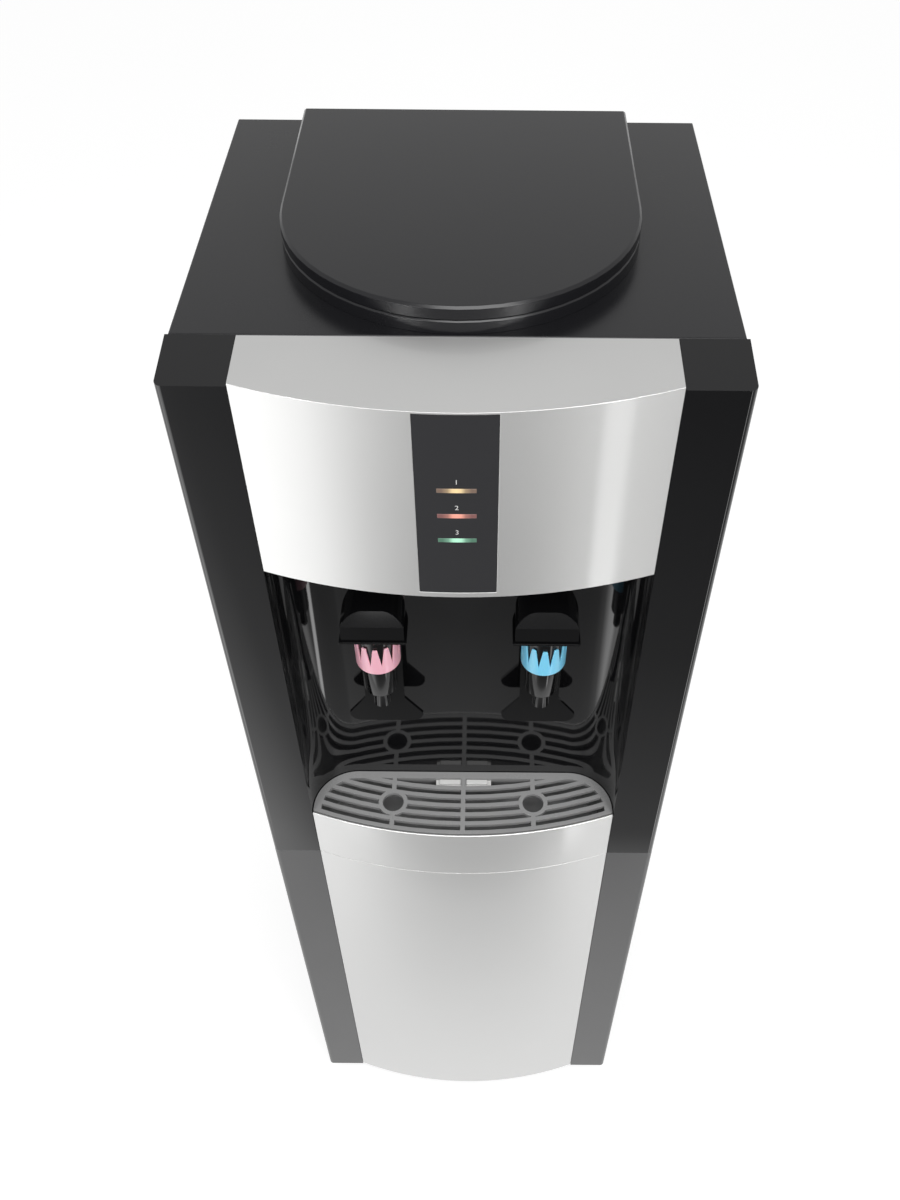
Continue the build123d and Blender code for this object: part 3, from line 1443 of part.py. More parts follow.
def export_all():
    """Build every piece and write it under its own name."""
    pieces = {
        "base_tray": base_tray(),
        "feet": feet(),
        "side_panel_right": side_panel(1),
        "side_panel_left": side_panel(-1),
        "back_panel": back_panel(),
        "top_cover": top_cover(),
        "lid_collar": lid_collar(),
        "lid": lid(),
        "upper_casing": upper_casing(),
        "lower_casing": lower_casing(),
        "lower_fascia": lower_fascia(),
        "upper_fascia": upper_fascia(),
        "tray_apron": tray_apron(),
        "indicator_strip": indicator_strip(),
        "indicator_board": indicator_board(),
        "drip_tray": drip_tray(),
        "drip_grille": drip_grille(),
        "grille_catch": grille_catch(),
        "tank_shelves": tank_shelves(),
        "tap_pins": tap_pins(),
        "tap_washers": tap_washers(),
        "tap_nuts": tap_nuts(),
        "cold_tank": cold_tank(),
        "tank_insulation": tank_insulation(),
        "evaporator_coil": evaporator_coil(),
        "float_valve": float_valve(),
        "float_arm": float_arm(),
        "hot_tank": hot_tank(),
        "hot_insulation": hot_insulation(),
        "thermostats": thermostats(),
        "compressor": compressor(),
        "compressor_mounts": compressor_mounts(),
        "condenser_coil": condenser_coil(),
        "condenser_wires": condenser_wires(),
        "condenser_brackets": condenser_brackets(),
        "refrigerant_lines": refrigerant_lines(),
        "switch_bodies": switch_bodies(),
        "rocker_hot": rocker(0),
        "rocker_cold": rocker(1),
        "cord_gland": cord_gland(),
        "inlet_fitting": inlet_fitting(),
        "water_hoses": water_hoses(),
        "drain_pipe": drain_pipe(),
        "drain_cap": drain_cap(),
        "screws": screws(),
    }
    for index, name in enumerate(("power", "heating", "cooling")):
        pieces["lens_" + name] = indicator_lens(index)
    for side, name in ((-1, "hot"), (1, "cold")):
        pieces["tap_body_" + name] = tap_body(side)
        pieces["tap_bonnet_" + name] = tap_bonnet(side)
        pieces["tap_collar_" + name] = tap_collar(side)
        pieces["tap_lever_" + name] = tap_lever(side)
        pieces["tap_plunger_" + name] = tap_plunger(side)
        pieces["tap_spring_" + name] = tap_spring(side)
    for name, piece in pieces.items():
        export_step(piece, f"parts/{name}.step")


export_all()
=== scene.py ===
import json
import math

import bmesh
import bpy
from mathutils import Euler, Matrix, Vector

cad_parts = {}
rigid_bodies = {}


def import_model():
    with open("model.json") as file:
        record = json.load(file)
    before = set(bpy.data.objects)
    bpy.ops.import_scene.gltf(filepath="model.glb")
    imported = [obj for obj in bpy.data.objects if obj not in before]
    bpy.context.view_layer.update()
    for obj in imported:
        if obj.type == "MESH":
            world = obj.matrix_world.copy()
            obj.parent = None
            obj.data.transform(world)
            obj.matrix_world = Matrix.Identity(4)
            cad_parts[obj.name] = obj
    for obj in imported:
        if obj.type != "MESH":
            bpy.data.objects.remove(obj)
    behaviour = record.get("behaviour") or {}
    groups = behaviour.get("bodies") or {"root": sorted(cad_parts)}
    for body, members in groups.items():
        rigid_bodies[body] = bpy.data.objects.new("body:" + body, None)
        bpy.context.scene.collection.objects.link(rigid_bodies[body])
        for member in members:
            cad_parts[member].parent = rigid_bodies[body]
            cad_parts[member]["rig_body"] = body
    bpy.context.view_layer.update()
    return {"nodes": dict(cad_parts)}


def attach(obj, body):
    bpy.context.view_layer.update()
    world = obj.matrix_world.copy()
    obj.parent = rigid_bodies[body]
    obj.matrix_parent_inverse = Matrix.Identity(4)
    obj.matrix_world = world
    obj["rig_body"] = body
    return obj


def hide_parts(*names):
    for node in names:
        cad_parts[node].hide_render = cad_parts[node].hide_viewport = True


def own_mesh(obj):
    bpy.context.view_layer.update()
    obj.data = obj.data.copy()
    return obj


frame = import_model()


# Sheet cabinet: two sides, a back and a base tray, folded from steel 1 to 1.5 mm thick.
# The black powder coat has a fine orange-peel grain. Four rubber feet are pressed into the base.


class Value:
    """One value in a material. Sums of values add Math nodes, and node() adds any other node."""

    def __init__(self, tree, socket=None):
        self.tree = tree
        self.socket = socket

    def node(self, kind, settings=None, sockets=None, out=0):
        """A node of one kind, with its settings and then the values or links of its sockets."""
        made = self.tree.nodes.new("ShaderNode" + kind)
        for name, setting in (settings or {}).items():
            if name == "stops":
                ramp = made.color_ramp.elements
                while len(ramp) < len(setting):
                    ramp.new(1.0)
                for stop, (position, shade) in zip(ramp, setting):
                    stop.position = position
                    stop.color = (shade, shade, shade, 1.0)
            else:
                setattr(made, name, setting)
        for name, value in (sockets or {}).items():
            if isinstance(value, Value):
                self.tree.links.new(value.socket, made.inputs[name])
            else:
                made.inputs[name].default_value = value
        return Value(self.tree, made.outputs[out])

    def maths(self, operation, other=0.0, turned=False):
        """A sum of this value and another, the other first when turned."""
        pair = (other, self) if turned else (self, other)
        return self.node("Math", {"operation": operation}, dict(enumerate(pair)))

    def mix(self, low, high):
        """A colour between two, by this value. A Mix node has its colours at 6, 7 and out at 2."""
        ends = {0: self}
        for socket, colour in ((6, low), (7, high)):
            ends[socket] = colour if isinstance(colour, Value) else [*colour, 1.0]
        return self.node("Mix", {"data_type": "RGBA"}, ends, out=2)

    def feed(self, skin, name):
        """Links this value to a socket of a shader."""
        self.tree.links.new(self.socket, skin.inputs[name])

    def __add__(self, other):
        return self.maths("ADD", other)

    def __sub__(self, other):
        return self.maths("SUBTRACT", other)

    def __rsub__(self, other):
        return self.maths("SUBTRACT", other, turned=True)

    def __mul__(self, other):
        return self.maths("MULTIPLY", other)

    __radd__ = __add__
    __rmul__ = __mul__


def bare(name, constants=None):
    """A new material with its shader, and a value to start from."""
    made = bpy.data.materials.new(name)
    made.use_nodes = True
    skin = made.node_tree.nodes["Principled BSDF"]
    for socket, value in (constants or {}).items():
        skin.inputs[socket].default_value = value
    return made, skin, Value(made.node_tree)


drift_scale = 7.0
smudge_scale = 28.0
grain_share = 0.3
grain_gloss = 0.5


def finish(
    name,
    colour,
    roughness,
    mottle=0.08,
    grain=900.0,
    height=0.0,
    along=(1, 1, 1),
    drift_of_gloss=0.4,
    **constants,
):
    """A moulded, painted or drawn finish: colour and gloss drift a little, over a fine grain."""
    sockets = {key.replace("_", " "): value for key, value in constants.items()}
    made, skin, start = bare(name, sockets)
    spot = start.node("TexCoord", out="Object")
    stretched = start.node("Mapping", {}, {"Vector": spot, "Scale": along})
    drift = start.node("TexNoise", {}, {"Vector": spot, "Scale": drift_scale, "Detail": 3.0})
    smears = {"Vector": spot, "Scale": smudge_scale, "Detail": 4.0, "Roughness": 0.6}
    smudge = start.node("TexNoise", {}, smears)
    fine = start.node("TexNoise", {}, {"Vector": stretched, "Scale": grain, "Detail": 2.0})
    tone = drift * (1.0 - grain_share) + fine * grain_share
    darker = [shade * (1 - mottle) for shade in colour]
    lighter = [min(1.0, shade * (1 + mottle)) for shade in colour]
    tone.mix(darker, lighter).feed(skin, "Base Color")
    swing = roughness * drift_of_gloss
    gloss = (drift + smudge - 1.0) * swing + (fine - 0.5) * (swing * grain_gloss) + roughness
    gloss.feed(skin, "Roughness")
    if height:
        start.node("Bump", {}, {"Height": fine, "Distance": height}).feed(skin, "Normal")
    return made


def place(shape, name, material, body, stands_for=(), smooth=40.0):
    """Makes a piece of a mesh, smooth up to an angle, on its body and for the nodes it replaces."""
    for face in shape.faces:
        face.smooth = True
    for edge in shape.edges:
        edge.smooth = edge.is_manifold and edge.calc_face_angle() < math.radians(smooth)
    mesh = bpy.data.meshes.new(name)
    shape.to_mesh(mesh)
    shape.free()
    piece = bpy.data.objects.new(name, mesh)
    bpy.context.scene.collection.objects.link(piece)
    mesh.materials.append(material)
    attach(piece, body)
    if stands_for:
        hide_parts(*stands_for)
    return piece


weld = 0.00001
flat = math.radians(0.4)


def soften(node, material, width=0.0, segments=2, sharp=30.0, adjust=None):
    """A finished copy of a CAD node: edges rounded by a width where one is given, curves smooth."""
    source = frame["nodes"][node]
    shape = bmesh.new()
    shape.from_mesh(source.data)
    if adjust:
        adjust(shape)
    bmesh.ops.remove_doubles(shape, verts=shape.verts, dist=weld)
    bmesh.ops.dissolve_limit(shape, angle_limit=flat, verts=shape.verts, edges=shape.edges)
    limit = 180.0 if width else sharp
    piece = place(shape, node + "_finished", material, source["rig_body"], [node], smooth=limit)
    if width:
        rounding = piece.modifiers.new("rounding", "BEVEL")
        rounding.width = width
        rounding.segments = segments
        rounding.limit_method = "ANGLE"
        rounding.angle_limit = math.radians(sharp)
        evened = piece.modifiers.new("evened", "WEIGHTED_NORMAL")
        evened.keep_sharp = False
    return piece


powder_coat = finish(
    "powder_coat",
    (0.022, 0.022, 0.024),
    roughness=0.42,
    grain=1100.0,
    height=0.00003,
    drift_of_gloss=0.1,
)
for panel in ("side_panel_left", "side_panel_right", "back_panel", "base_tray"):
    soften(panel, powder_coat, width=0.0004)
foot_rubber = finish(
    "foot_rubber", (0.02, 0.02, 0.02), roughness=0.75, grain=700.0, height=0.00008
)
soften("feet", foot_rubber, width=0.001)


# Top cover and the collar under the lid, moulded in black with a fine satin grain.
# The cover's skirt snaps over the panels, and the collar drops in through the cover.

satin_black = finish(
    "satin_black",
    (0.0075, 0.0075, 0.0087),
    roughness=0.26,
    grain=1500.0,
    height=0.00001,
    drift_of_gloss=0.2,
    IOR=1.3,
    Coat_Roughness=0.26,
    Coat_IOR=1.45,
)
looks_up = 0.5


def coat_tops_shade_sides(made):
    """A satin coat only on faces that look up. The sides go without it, a painted shade that keeps
    them dark.
    """
    skin = made.node_tree.nodes["Principled BSDF"]
    facing = Value(made.node_tree).node("TexCoord", out="Normal")
    upward = facing.node("SeparateXYZ", {}, {0: facing}, out="Z")
    upward.maths("GREATER_THAN", looks_up).feed(skin, "Coat Weight")


# Painted shade: the coat on the tops alone keeps these mouldings' sides darker than their tops.
coat_tops_shade_sides(satin_black)
soften("top_cover", satin_black, width=0.0012, segments=3)
top_level = 0.9634
level_slack = 0.0001
lid_half = 0.105
lid_back = 0.1195
moulded_corner = 0.008


def square_corners(shape):
    """Draws the rounded back corners out to square ones, as on the lid and on the collar's rim."""
    for vert in shape.verts:
        across = abs(vert.co.x) - (lid_half - moulded_corner)
        behind = vert.co.y - (lid_back - moulded_corner)
        if across > 0 and behind > 0 and vert.co.z > top_level - level_slack:
            reach = math.hypot(across, behind)
            vert.co.x += math.copysign(reach - across, vert.co.x)
            vert.co.y += reach - behind


soften("lid_collar", satin_black, width=0.0008, segments=3, adjust=square_corners)


# Lid: a shallow cap of the same moulding, with a round front and a flat back.
# It rests loose on the collar and lifts off. Its back corners are square.

lid_satin = finish(
    "lid_satin",
    (0.007, 0.007, 0.0082),
    roughness=0.24,
    grain=1500.0,
    height=0.00001,
    drift_of_gloss=0.2,
    IOR=1.3,
    Coat_Roughness=0.24,
    Coat_IOR=1.43,
)
coat_tops_shade_sides(lid_satin)
soften("lid", lid_satin, width=0.0011, segments=3, adjust=square_corners)


# Front casings: the upper one is polished black, with the recess moulded in one piece.
# The lower one has a dark grey satin face. Each has a pillar at either side of its silver panel.

polished_black = finish(
    "polished_black", (0.005, 0.005, 0.0055), roughness=0.06, grain=300.0, IOR=1.6
)
soften("upper_casing", polished_black, width=0.0008)
satin_grey = finish(
    "satin_grey",
    (0.085, 0.085, 0.086),
    roughness=0.3,
    mottle=0.04,
    grain=1500.0,
    drift_of_gloss=0.15,
)
soften("lower_casing", satin_grey, width=0.0008)


# Silver panels: bowed mouldings in a metallic paint under a clear coat, which clip in between
# the two pillars. They are the fascia, the apron in front of the drip tray and the lower panel.

silver_paint = finish(
    "silver_paint",
    (0.725, 0.725, 0.717),
    roughness=0.47,
    mottle=0.015,
    grain=2600.0,
    drift_of_gloss=0.08,
    Metallic=0.8,
    Coat_Weight=1.0,
    Coat_Roughness=0.07,
)
window_half = 0.0226
window_top = 0.954
window_rise = 0.0026
window_slack = 0.0003


def raise_window(shape):
    """The window for the dark strip ends just under the fascia's top edge."""
    for vert in shape.verts:
        if abs(vert.co.x) < window_half and abs(vert.co.z - window_top) < window_slack:
            vert.co.z += window_rise


soften("upper_fascia", silver_paint, width=0.0006, segments=3, adjust=raise_window)
soften("tray_apron", silver_paint, width=0.0006, segments=3)
soften("lower_fascia", silver_paint, width=0.0004)


# Indicator strip: a smooth dark grey bar in the fascia's window, with three clear tinted bars.
# A lamp on the board behind lights the middle of each bar, and a numeral is printed by each.

strip_grey = finish("strip_grey", (0.026, 0.026, 0.028), roughness=0.16, grain=600.0)
soften("indicator_strip", strip_grey, width=0.0003, adjust=raise_window)
solder_green = finish(
    "solder_green", (0.02, 0.16, 0.06), roughness=0.35, mottle=0.2, grain=500.0
)
soften("indicator_board", solder_green)
bar_half = 0.0108
lamp_fades = [(0.0, 1.0), (0.22, 0.85), (0.45, 0.22), (0.75, 0.0)]
tint_share = 0.4
for lens, edge, heart in (
    ("lens_power", (0.15, 0.105, 0.08), (1.0, 0.76, 0.40)),
    ("lens_heating", (0.17, 0.08, 0.075), (1.0, 0.42, 0.32)),
    ("lens_cooling", (0.07, 0.15, 0.105), (0.52, 1.0, 0.72)),
):
    glow, skin, start = bare(lens + "_glow", {"Roughness": 0.15, "Emission Strength": 1.0})
    spot = start.node("TexCoord", out="Object")
    across = start.node("SeparateXYZ", {}, {0: spot}).maths("ABSOLUTE")
    lit = start.node("ValToRGB", {"stops": lamp_fades}, {0: across * (1.0 / bar_half)})
    lit.mix(edge, heart).feed(skin, "Emission Color")
    skin.inputs["Base Color"].default_value = [*(shade * tint_share for shade in edge), 1.0]
    soften(lens, glow, width=0.0003)

mark_ink = finish("mark_ink", (0.55, 0.55, 0.54), roughness=0.5, grain=3000.0)
mark_face = -0.1673
mark_high = 0.0046
mark_thick = 0.00005
mark_weld = 0.000001
mark_top = 0.9101
mark_pitch = 0.0186
upright = Matrix.Rotation(math.pi / 2, 4, "X")
marks = bmesh.new()
for row, number in enumerate("123"):
    sign = bpy.data.curves.new("mark", "FONT")
    sign.body = number
    sign.size = mark_high
    sign.align_x = "CENTER"
    sign.extrude = mark_thick
    lettered = bpy.data.objects.new("mark", sign)
    bpy.context.scene.collection.objects.link(lettered)
    shown = lettered.evaluated_get(bpy.context.evaluated_depsgraph_get())
    printed = bpy.data.meshes.new_from_object(shown)
    bpy.data.objects.remove(lettered)
    mark_spot = (0.0, mark_face, mark_top - row * mark_pitch)
    printed.transform(Matrix.Translation(mark_spot) @ upright)
    marks.from_mesh(printed)
bmesh.ops.remove_doubles(marks, verts=marks.verts, dist=mark_weld)
place(marks, "strip_marks", mark_ink, "cabinet")


# Taps: black mouldings with a turned spout and barrel, clamped through the recess's wall by a nut.
# A coloured crown-shaped clip shows hot or cold, and a lever with a wide paddle lifts the plunger.

turned_weld = 0.000002


def turn(shape, profile, centre, axis=(0, 0, 1), steps=48):
    """Adds a turned shape to a mesh: (radius, place along the axis) pairs, spun full round."""
    axis = Vector(axis)
    out = axis.orthogonal().normalized()
    centre = Vector(centre)
    points = [shape.verts.new(centre + out * radius + axis * along) for radius, along in profile]
    runs = [shape.edges.new(pair) for pair in zip(points, points[1:])]
    bmesh.ops.spin(
        shape,
        geom=points + runs,
        cent=centre,
        axis=axis,
        angle=2 * math.pi,
        steps=steps,
        use_merge=True,
    )
    bmesh.ops.remove_doubles(shape, verts=shape.verts, dist=turned_weld)
    bmesh.ops.recalc_face_normals(shape, faces=shape.faces)


tap_gloss = finish("tap_gloss", (0.003, 0.003, 0.0033), roughness=0.08, grain=400.0, IOR=1.35)
collar_finish = {
    tap: finish(name, colour, roughness=0.22, mottle=0.05, Subsurface_Weight=0.15)
    for tap, name, colour in (
        ("hot", "collar_pink", (0.90, 0.42, 0.50)),
        ("cold", "collar_blue", (0.20, 0.59, 0.82)),
    )
}
steel = finish(
    "drawn_steel",
    (0.56, 0.56, 0.55),
    roughness=0.28,
    grain=900.0,
    along=(1, 1, 0.05),
    Metallic=1.0,
)
rubber = finish("seal_rubber", (0.03, 0.03, 0.03), roughness=0.7, grain=600.0, height=0.00005)
nylon = finish("white_nylon", (0.74, 0.74, 0.70), roughness=0.45, grain=500.0)
seal_silicone = finish(
    "seal_silicone", (0.72, 0.70, 0.66), roughness=0.5, Subsurface_Weight=0.2
)
tap_half = 0.055
tap_y = -0.1369
tip_z = 0.679
spout_z = 0.698
barrel_z = 0.727
barrel_top = 0.764
neck_z = 0.755
spout = [
    (0.0, tip_z + 0.024),
    (0.0045, tip_z + 0.024),
    (0.0045, tip_z + 0.0004),
    (0.0049, tip_z),
    (0.0055, tip_z),
    (0.0060, tip_z + 0.0005),
    (0.0060, spout_z - 0.0016),
    (0.0063, spout_z - 0.0006),
    (0.0070, spout_z),
    (0.0105, spout_z),
    (0.0112, spout_z + 0.0003),
    (0.0115, spout_z + 0.0010),
    (0.0115, barrel_z + 0.0015),
    (0.0130, barrel_z + 0.0015),
    (0.0135, barrel_z + 0.0020),
    (0.0135, barrel_top),
    (0.0, barrel_top),
]
neck = [
    (0.0, 0.008),
    (0.0085, 0.008),
    (0.0085, 0.0228),
    (0.0098, 0.0234),
    (0.0142, 0.0234),
    (0.0150, 0.0242),
    (0.0150, 0.0274),
    (0.0082, 0.0274),
    (0.0082, 0.0510),
    (0.0078, 0.0514),
    (0.0045, 0.0514),
    (0.0045, 0.0300),
    (0.0, 0.0300),
]
for tap, tap_x in (("hot", -tap_half), ("cold", tap_half)):
    moulding = bmesh.new()
    turn(moulding, spout, (tap_x, tap_y, 0.0))
    turn(moulding, neck, (tap_x, tap_y, neck_z), axis=(0, 1, 0))
    place(moulding, f"tap_body_{tap}_moulding", tap_gloss, "cabinet", [f"tap_body_{tap}"])
    soften(f"tap_collar_{tap}", collar_finish[tap], width=0.0004)
    soften(f"tap_bonnet_{tap}", tap_gloss, width=0.0004)
    soften(f"tap_lever_{tap}", tap_gloss, width=0.0011, segments=3)
    soften(f"tap_plunger_{tap}", seal_silicone, width=0.0003)
    spring = soften(f"tap_spring_{tap}", steel, sharp=80.0)
    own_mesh(spring)
soften("tap_pins", steel, width=0.0003)
soften("tap_washers", rubber, width=0.0003)
soften("tap_nuts", nylon, width=0.0004)


# Drip tray of black plastic, with a grey grille over it that lifts off.
# A pale catch bar under the grille shows as two pads in its back row of slots.

tray_plastic = finish(
    "tray_plastic", (0.16, 0.16, 0.16), roughness=0.35, grain=800.0, height=0.00003
)
soften("drip_tray", tray_plastic, width=0.0005)
grille_grey = finish(
    "grille_grey", (0.26, 0.26, 0.26), roughness=0.26, grain=1200.0, height=0.00002
)
soften("drip_grille", grille_grey, width=0.0005)
pale_plastic = finish("pale_plastic", (0.62, 0.62, 0.61), roughness=0.45, grain=800.0)
soften("grille_catch", pale_plastic, width=0.0003)


# Cold side: a spun steel tank in a foam block on a folded shelf, wound with the evaporator's tube.
# A float valve of white acetal keeps the tank full.

galvanised = finish(
    "galvanised",
    (0.46, 0.47, 0.48),
    roughness=0.4,
    mottle=0.16,
    grain=130.0,
    Metallic=0.9,
)
soften("tank_shelves", galvanised)
soften("cold_tank", steel)
foam_white = finish(
    "foam_white", (0.80, 0.79, 0.76), roughness=0.85, grain=420.0, height=0.0004
)
soften("tank_insulation", foam_white, width=0.001)
acetal = finish("white_acetal", (0.74, 0.74, 0.72), roughness=0.35, grain=500.0)
soften("float_valve", acetal, width=0.0003)
float_plastic = finish(
    "float_plastic", (0.74, 0.76, 0.77), roughness=0.4, Subsurface_Weight=0.15
)
soften("float_arm", float_plastic, width=0.0004)


# Hot side: a closed steel tank in a jacket of grey foam, on its own shelf under the cold one.
# Two thermostats of black bakelite sit on top.

soften("hot_tank", steel)
foam_grey = finish("foam_grey", (0.34, 0.34, 0.35), roughness=0.85, grain=420.0, height=0.0004)
soften("hot_insulation", foam_grey, width=0.001)
bakelite = finish("bakelite", (0.02, 0.018, 0.017), roughness=0.35, grain=500.0)
soften("thermostats", bakelite, width=0.0002)


# Cooling circuit: a black enamelled compressor on rubber mounts, and a condenser of bent tube
# with wires welded across it. Copper lines and a drier join them to the evaporator.


def tube(name, routes, radius, material, body, stands_for, turned=()):
    """Round tubes along routes of (corner, bend radius) pairs, as one piece with turned shapes."""
    shape = bmesh.new()
    for route in routes:
        line = bpy.data.curves.new(name, "CURVE")
        line.dimensions = "3D"
        line.bevel_depth = radius
        line.bevel_resolution = 3
        line.resolution_u = 8
        line.use_fill_caps = True
        knots = []
        for i, (corner, bend) in enumerate(route):
            corner = Vector(corner)
            if i in (0, len(route) - 1):
                knots.append((corner, corner, corner))
                continue
            back = (Vector(route[i - 1][0]) - corner).normalized()
            onward = (Vector(route[i + 1][0]) - corner).normalized()
            half = back.angle(onward) / 2
            reach = bend / math.tan(half)
            # With handles of this length the line follows a round arc.
            pull = 4 / 3 * math.tan((math.pi / 2 - half) / 2) * bend
            first = corner + back * reach
            last = corner + onward * reach
            knots.append((first, first, first - back * pull))
            knots.append((last, last - onward * pull, last))
        spline = line.splines.new("BEZIER")
        spline.bezier_points.add(len(knots) - 1)
        for point, (spot, left, right) in zip(spline.bezier_points, knots):
            point.handle_left_type = point.handle_right_type = "FREE"
            point.co = spot
            point.handle_left = left
            point.handle_right = right
        bent = bpy.data.objects.new(name, line)
        bpy.context.scene.collection.objects.link(bent)
        shown = bent.evaluated_get(bpy.context.evaluated_depsgraph_get())
        shape.from_mesh(bpy.data.meshes.new_from_object(shown))
        bpy.data.objects.remove(bent)
    bmesh.ops.remove_doubles(shape, verts=shape.verts, dist=turned_weld)
    bmesh.ops.recalc_face_normals(shape, faces=shape.faces)
    for profile, centre, axis in turned:
        turn(shape, profile, centre, axis, steps=24)
    return place(shape, name, material, body, stands_for)


def dress(node, material):
    """Gives a CAD node its material."""
    mesh = frame["nodes"][node].data
    mesh.materials.clear()
    mesh.materials.append(material)


enamel = finish(
    "compressor_enamel", (0.012, 0.012, 0.013), roughness=0.16, grain=250.0, height=0.00004
)
soften("compressor", enamel, width=0.0012, segments=3, sharp=28.0)
soften("compressor_mounts", rubber, width=0.0008)
black_enamel = finish("condenser_enamel", (0.018, 0.018, 0.018), roughness=0.32, grain=600.0)
tube_radius = 0.0025
pass_half = 0.143
riser_x = 0.150
condenser_y = 0.160
condenser_low = 0.230
pass_top = 0.812
pass_pitch = 0.080
pass_count = 7
pass_bend = 0.0395
winding = [((riser_x, condenser_y, condenser_low), 0)]
winding.append(((riser_x, condenser_y, pass_top), pass_bend))
side = -1
for run in range(pass_count):
    level = pass_top - run * pass_pitch
    if run:
        winding.append(((-side * pass_half, condenser_y, level), pass_bend))
    winding.append(((side * pass_half, condenser_y, level), pass_bend))
    side = -side
winding.append(((-pass_half, condenser_y, condenser_low), 0))
tube("condenser_tube", [winding], tube_radius, black_enamel, "cabinet", ["condenser_coil"])
soften("condenser_brackets", bakelite, width=0.0005)
dress("condenser_wires", black_enamel)
copper = finish(
    "copper", (0.62, 0.30, 0.17), roughness=0.28, mottle=0.15, grain=300.0, Metallic=1.0
)
port_z = 0.110
discharge_x = 0.030
discharge_y = 0.106
suction_x = 0.074
compressor_y = 0.042
line_x = 0.135
line_y = 0.122
low_line = 0.090
step_x = 0.112
coil_low = 0.775
coil_high = 0.840
tank_y = 0.028
coil_x = 0.0822
line_bend = 0.008
discharge = [
    (discharge_x, discharge_y, port_z),
    (discharge_x, condenser_y, port_z),
    (riser_x, condenser_y, port_z),
    (riser_x, condenser_y, condenser_low),
]
liquid = [
    (-pass_half, condenser_y, condenser_low),
    (-pass_half, condenser_y, low_line),
    (-step_x, condenser_y, low_line),
    (-step_x, line_y, low_line),
    (-line_x, line_y, low_line),
    (-line_x, line_y, coil_high),
    (-line_x, tank_y, coil_high),
    (-coil_x, tank_y, coil_high),
]
suction = [
    (suction_x, compressor_y, port_z),
    (line_x, compressor_y, port_z),
    (line_x, line_y, port_z),
    (line_x, line_y, coil_low),
    (line_x, tank_y, coil_low),
    (coil_x, tank_y, coil_low),
]
lines = [[(point, line_bend) for point in route] for route in (discharge, liquid, suction)]
drier = [(0.0, 0.0), (0.003, 0.0), (0.007, 0.004), (0.007, 0.076), (0.003, 0.080), (0.0, 0.080)]
drier_low = 0.115
drier_spot = (-pass_half, condenser_y, drier_low)
tube(
    "copper_lines",
    lines,
    tube_radius,
    copper,
    "cabinet",
    ["refrigerant_lines"],
    turned=[(drier, drier_spot, (0, 0, 1))],
)
dress("evaporator_coil", copper)


# Behind and below: rocker switches, the gland for the mains lead, the water inlet and the drain
# with its cap, all fixed in the back panel, and the hoses inside.

switch_black = finish(
    "switch_black", (0.02, 0.02, 0.021), roughness=0.3, grain=900.0, height=0.00002
)
soften("switch_bodies", switch_black, width=0.0004)
rocker_red = finish("rocker_red", (0.55, 0.03, 0.02), roughness=0.2)
soften("rocker_hot", rocker_red, width=0.0004)
rocker_green = finish("rocker_green", (0.03, 0.32, 0.09), roughness=0.2)
soften("rocker_cold", rocker_green, width=0.0004)
gland_nylon = finish(
    "gland_nylon", (0.025, 0.025, 0.026), roughness=0.4, grain=700.0, height=0.00003
)
soften("cord_gland", gland_nylon, width=0.0004)
soften("inlet_fitting", acetal, width=0.0004)
soften("drain_pipe", acetal, width=0.0004)
cap_plastic = finish(
    "cap_plastic", (0.03, 0.03, 0.031), roughness=0.4, grain=900.0, height=0.00003
)
soften("drain_cap", cap_plastic, width=0.0005)
zinc = finish(
    "zinc_plate", (0.52, 0.53, 0.55), roughness=0.3, mottle=0.12, grain=400.0, Metallic=1.0
)
soften("screws", zinc, width=0.0003)
hose_silicone = finish(
    "hose_silicone", (0.74, 0.74, 0.72), roughness=0.4, Subsurface_Weight=0.2
)
hose_radius = 0.004
hose_bend = 0.014
shank_y = -0.0945
cold_port_y = -0.050
drop_y = -0.059
under_z = 0.692
mouth_z = 0.720
hose_end = 0.664
hot_port_y = 0.010
supply_x = 0.060
supply_y = 0.128
supply_low = 0.281
supply_high = 0.915
valve_x = 0.014
hoses = [
    [((tap_half, shank_y, neck_z), 0), ((tap_half, cold_port_y, neck_z), 0)],
    [
        ((-tap_half, shank_y, neck_z), 0),
        ((-tap_half, drop_y, neck_z), 0.022),
        ((-tap_half, drop_y, under_z), hose_bend),
        ((-0.020, hot_port_y, under_z), hose_bend),
        ((-0.020, hot_port_y, hose_end), 0),
    ],
    [
        ((0.0, tank_y, mouth_z), 0),
        ((0.0, tank_y, under_z), 0.010),
        ((0.025, hot_port_y, under_z), hose_bend),
        ((0.025, hot_port_y, hose_end), 0),
    ],
    [
        ((supply_x, supply_y, supply_low), 0),
        ((supply_x, supply_y, supply_high), 0.025),
        ((valve_x, supply_y, supply_high), 0),
    ],
]
tube("silicone_hoses", hoses, hose_radius, hose_silicone, "cabinet", ["water_hoses"])


# Studio: a plain white surround and a white floor that keeps a soft shadow, with one broad lamp
# and two small flash lamps. In reflections only, the floor carries a painted reflection: bright in
# a wide field on the left and a narrow strip on the right, and dark further out. It paints the
# silver fascia's bright left side and its streak.

studio = bpy.data.worlds.new("studio")
bpy.context.scene.world = studio
studio.use_nodes = True
sky = Value(studio.node_tree)
surround = 0.62
surround_in_gloss = 0.46
viewed = sky.node("LightPath", out="Is Camera Ray")
reflected = sky.node("LightPath", out="Is Glossy Ray")
strength = viewed * (1.0 - surround) + reflected * (surround_in_gloss - surround) + surround
backing = studio.node_tree.nodes["Background"]
backing.inputs["Color"].default_value = (1.0, 1.0, 1.0, 1.0)
strength.feed(backing, "Strength")

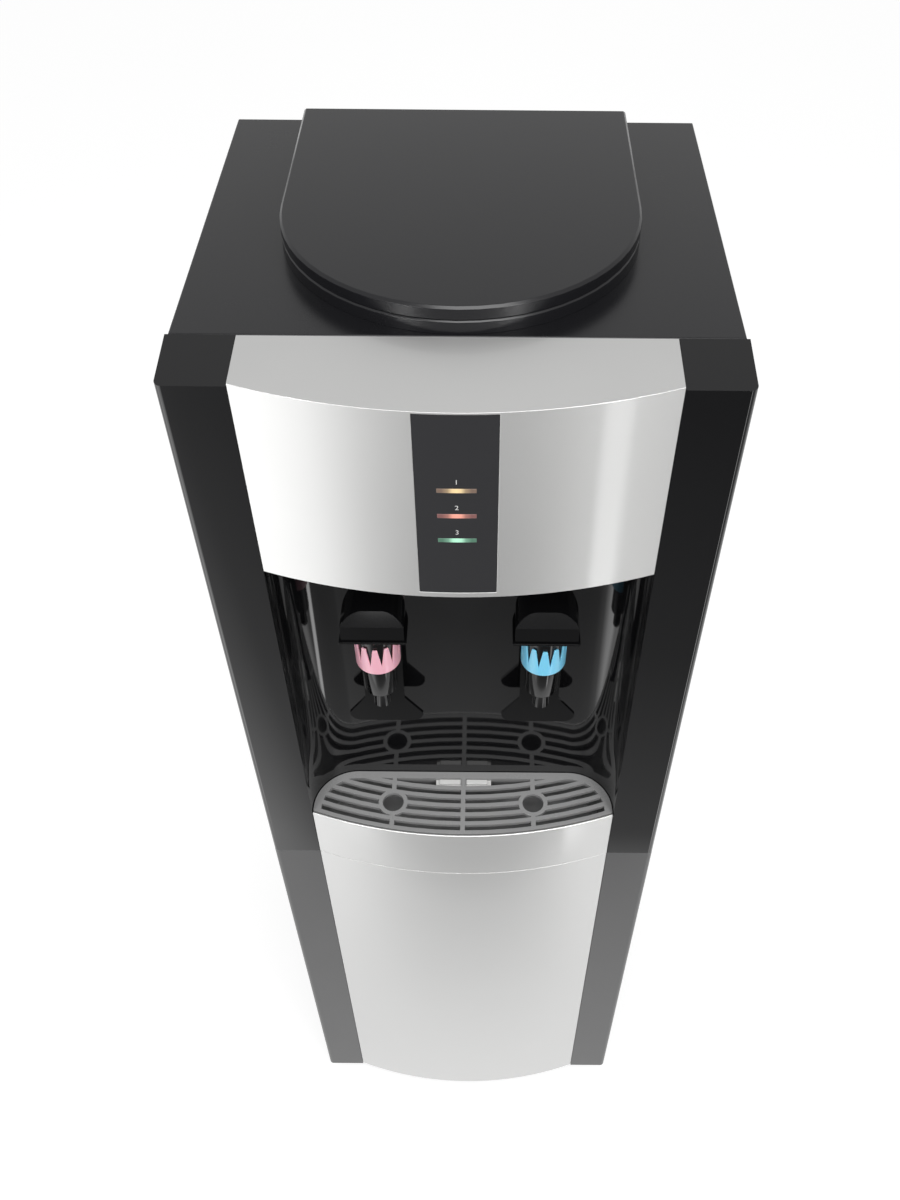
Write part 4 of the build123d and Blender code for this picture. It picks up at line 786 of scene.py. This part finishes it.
bpy.ops.mesh.primitive_plane_add(size=14.0, location=(0.0, 0.0, 0.0))
floor = bpy.context.object
floor.name = "floor"
paper_shade = 0.42
paper_white = 0.7
nearest = 0.05
fan_spread = 0.4
fan_middle = 0.5
fan_strength = 3.0
fan_stops = [
    (0.10, 0.6),
    (0.22, 0.5),
    (0.33, 0.08),
    (0.42, 0.02),
    (0.735, 0.0),
    (0.755, 1.0),
    (0.80, 1.0),
    (0.83, 0.0),
    (1.0, 0.05),
]
depth_scale = 0.667
depth_stops = [(0.0, 1.0), (0.255, 1.0), (0.30, 0.36), (0.5, 0.17), (0.9, 0.07)]
near_stops = [(0.255, 1.0), (0.30, 0.0)]
paper, skin, start = bare("paper", {"Roughness": 1.0, "Specular IOR Level": 0.0})
skin.inputs["Emission Strength"].default_value = 1.0
seen = start.node("LightPath", out="Is Camera Ray")
shine = start.node("LightPath", out="Is Glossy Ray")
ground = start.node("TexCoord", out="Object")
east = start.node("SeparateXYZ", {}, {0: ground}, out="X")
north = start.node("SeparateXYZ", {}, {0: ground}, out="Y")
ahead = (north * -1.0).maths("MAXIMUM", nearest)
fan = east.maths("DIVIDE", ahead) * fan_spread + fan_middle
painted_side_glow = start.node("ValToRGB", {"stops": fan_stops}, {0: fan}) * fan_strength
depth = start.node("ValToRGB", {"stops": depth_stops}, {0: ahead * depth_scale})
near = start.node("ValToRGB", {"stops": near_stops}, {0: ahead * depth_scale})
# Painted reflection: a glow that only reflections see, in the side fields and near the cooler's
# feet.
painted_reflection = depth + painted_side_glow * (1.0 - near)
((1.0 - shine) * paper_shade).mix((0.0, 0.0, 0.0), (1.0, 1.0, 1.0)).feed(skin, "Base Color")
given = seen * paper_white + shine * painted_reflection
white = start.node("VectorMath", {"operation": "SCALE"}, {0: (1.0, 1.0, 1.0), 3: given})
white.feed(skin, "Emission Color")
floor.data.materials.append(paper)


def lamp(name, spot, aim, size, energy):
    """A square lamp at a spot, turned to what it lights."""
    light = bpy.data.lights.new(name, "AREA")
    light.shape = "RECTANGLE"
    light.size = light.size_y = size
    light.energy = energy
    holder = bpy.data.objects.new(name, light)
    holder.location = spot
    holder.rotation_euler = (Vector(aim) - Vector(spot)).to_track_quat("-Z", "Y").to_euler()
    bpy.context.scene.collection.objects.link(holder)


lamp("overhead", (0.3, -1.4, 2.8), aim=(0.0, 0.0, 0.5), size=1.6, energy=32.0)
lamp("flash_left", (-0.34, -0.59, 1.20), aim=(0.0, -0.12, 0.7), size=0.12, energy=1.6)
lamp("flash_right", (0.34, -0.59, 1.20), aim=(0.0, -0.12, 0.7), size=0.12, energy=1.6)


# Camera: it stands where the photograph was taken from, close in front of the cooler and
# above its top, and looks down steeply. Its lens is measured in the photograph's pixels.

photo_width = 900.0
photo_height = 1200.0
focal_pixels = 1130.5
centre_x = 485.0
camera_spot = (0.0153, -0.6134, 1.3147)
looks_down = 48.03
lean = -0.35
heading = 0.33
lens_data = bpy.data.cameras.new("camera")
lens_data.sensor_width = 36.0
lens_data.lens = focal_pixels / photo_height * lens_data.sensor_width
lens_data.shift_x = (photo_width / 2 - centre_x) / photo_height
camera = bpy.data.objects.new("camera", lens_data)
camera.location = camera_spot
camera.rotation_euler = Euler([math.radians(part) for part in (90.0 - looks_down, lean, heading)])
bpy.context.scene.collection.objects.link(camera)
bpy.context.scene.camera = camera
bpy.context.scene.view_settings.view_transform = "Standard"
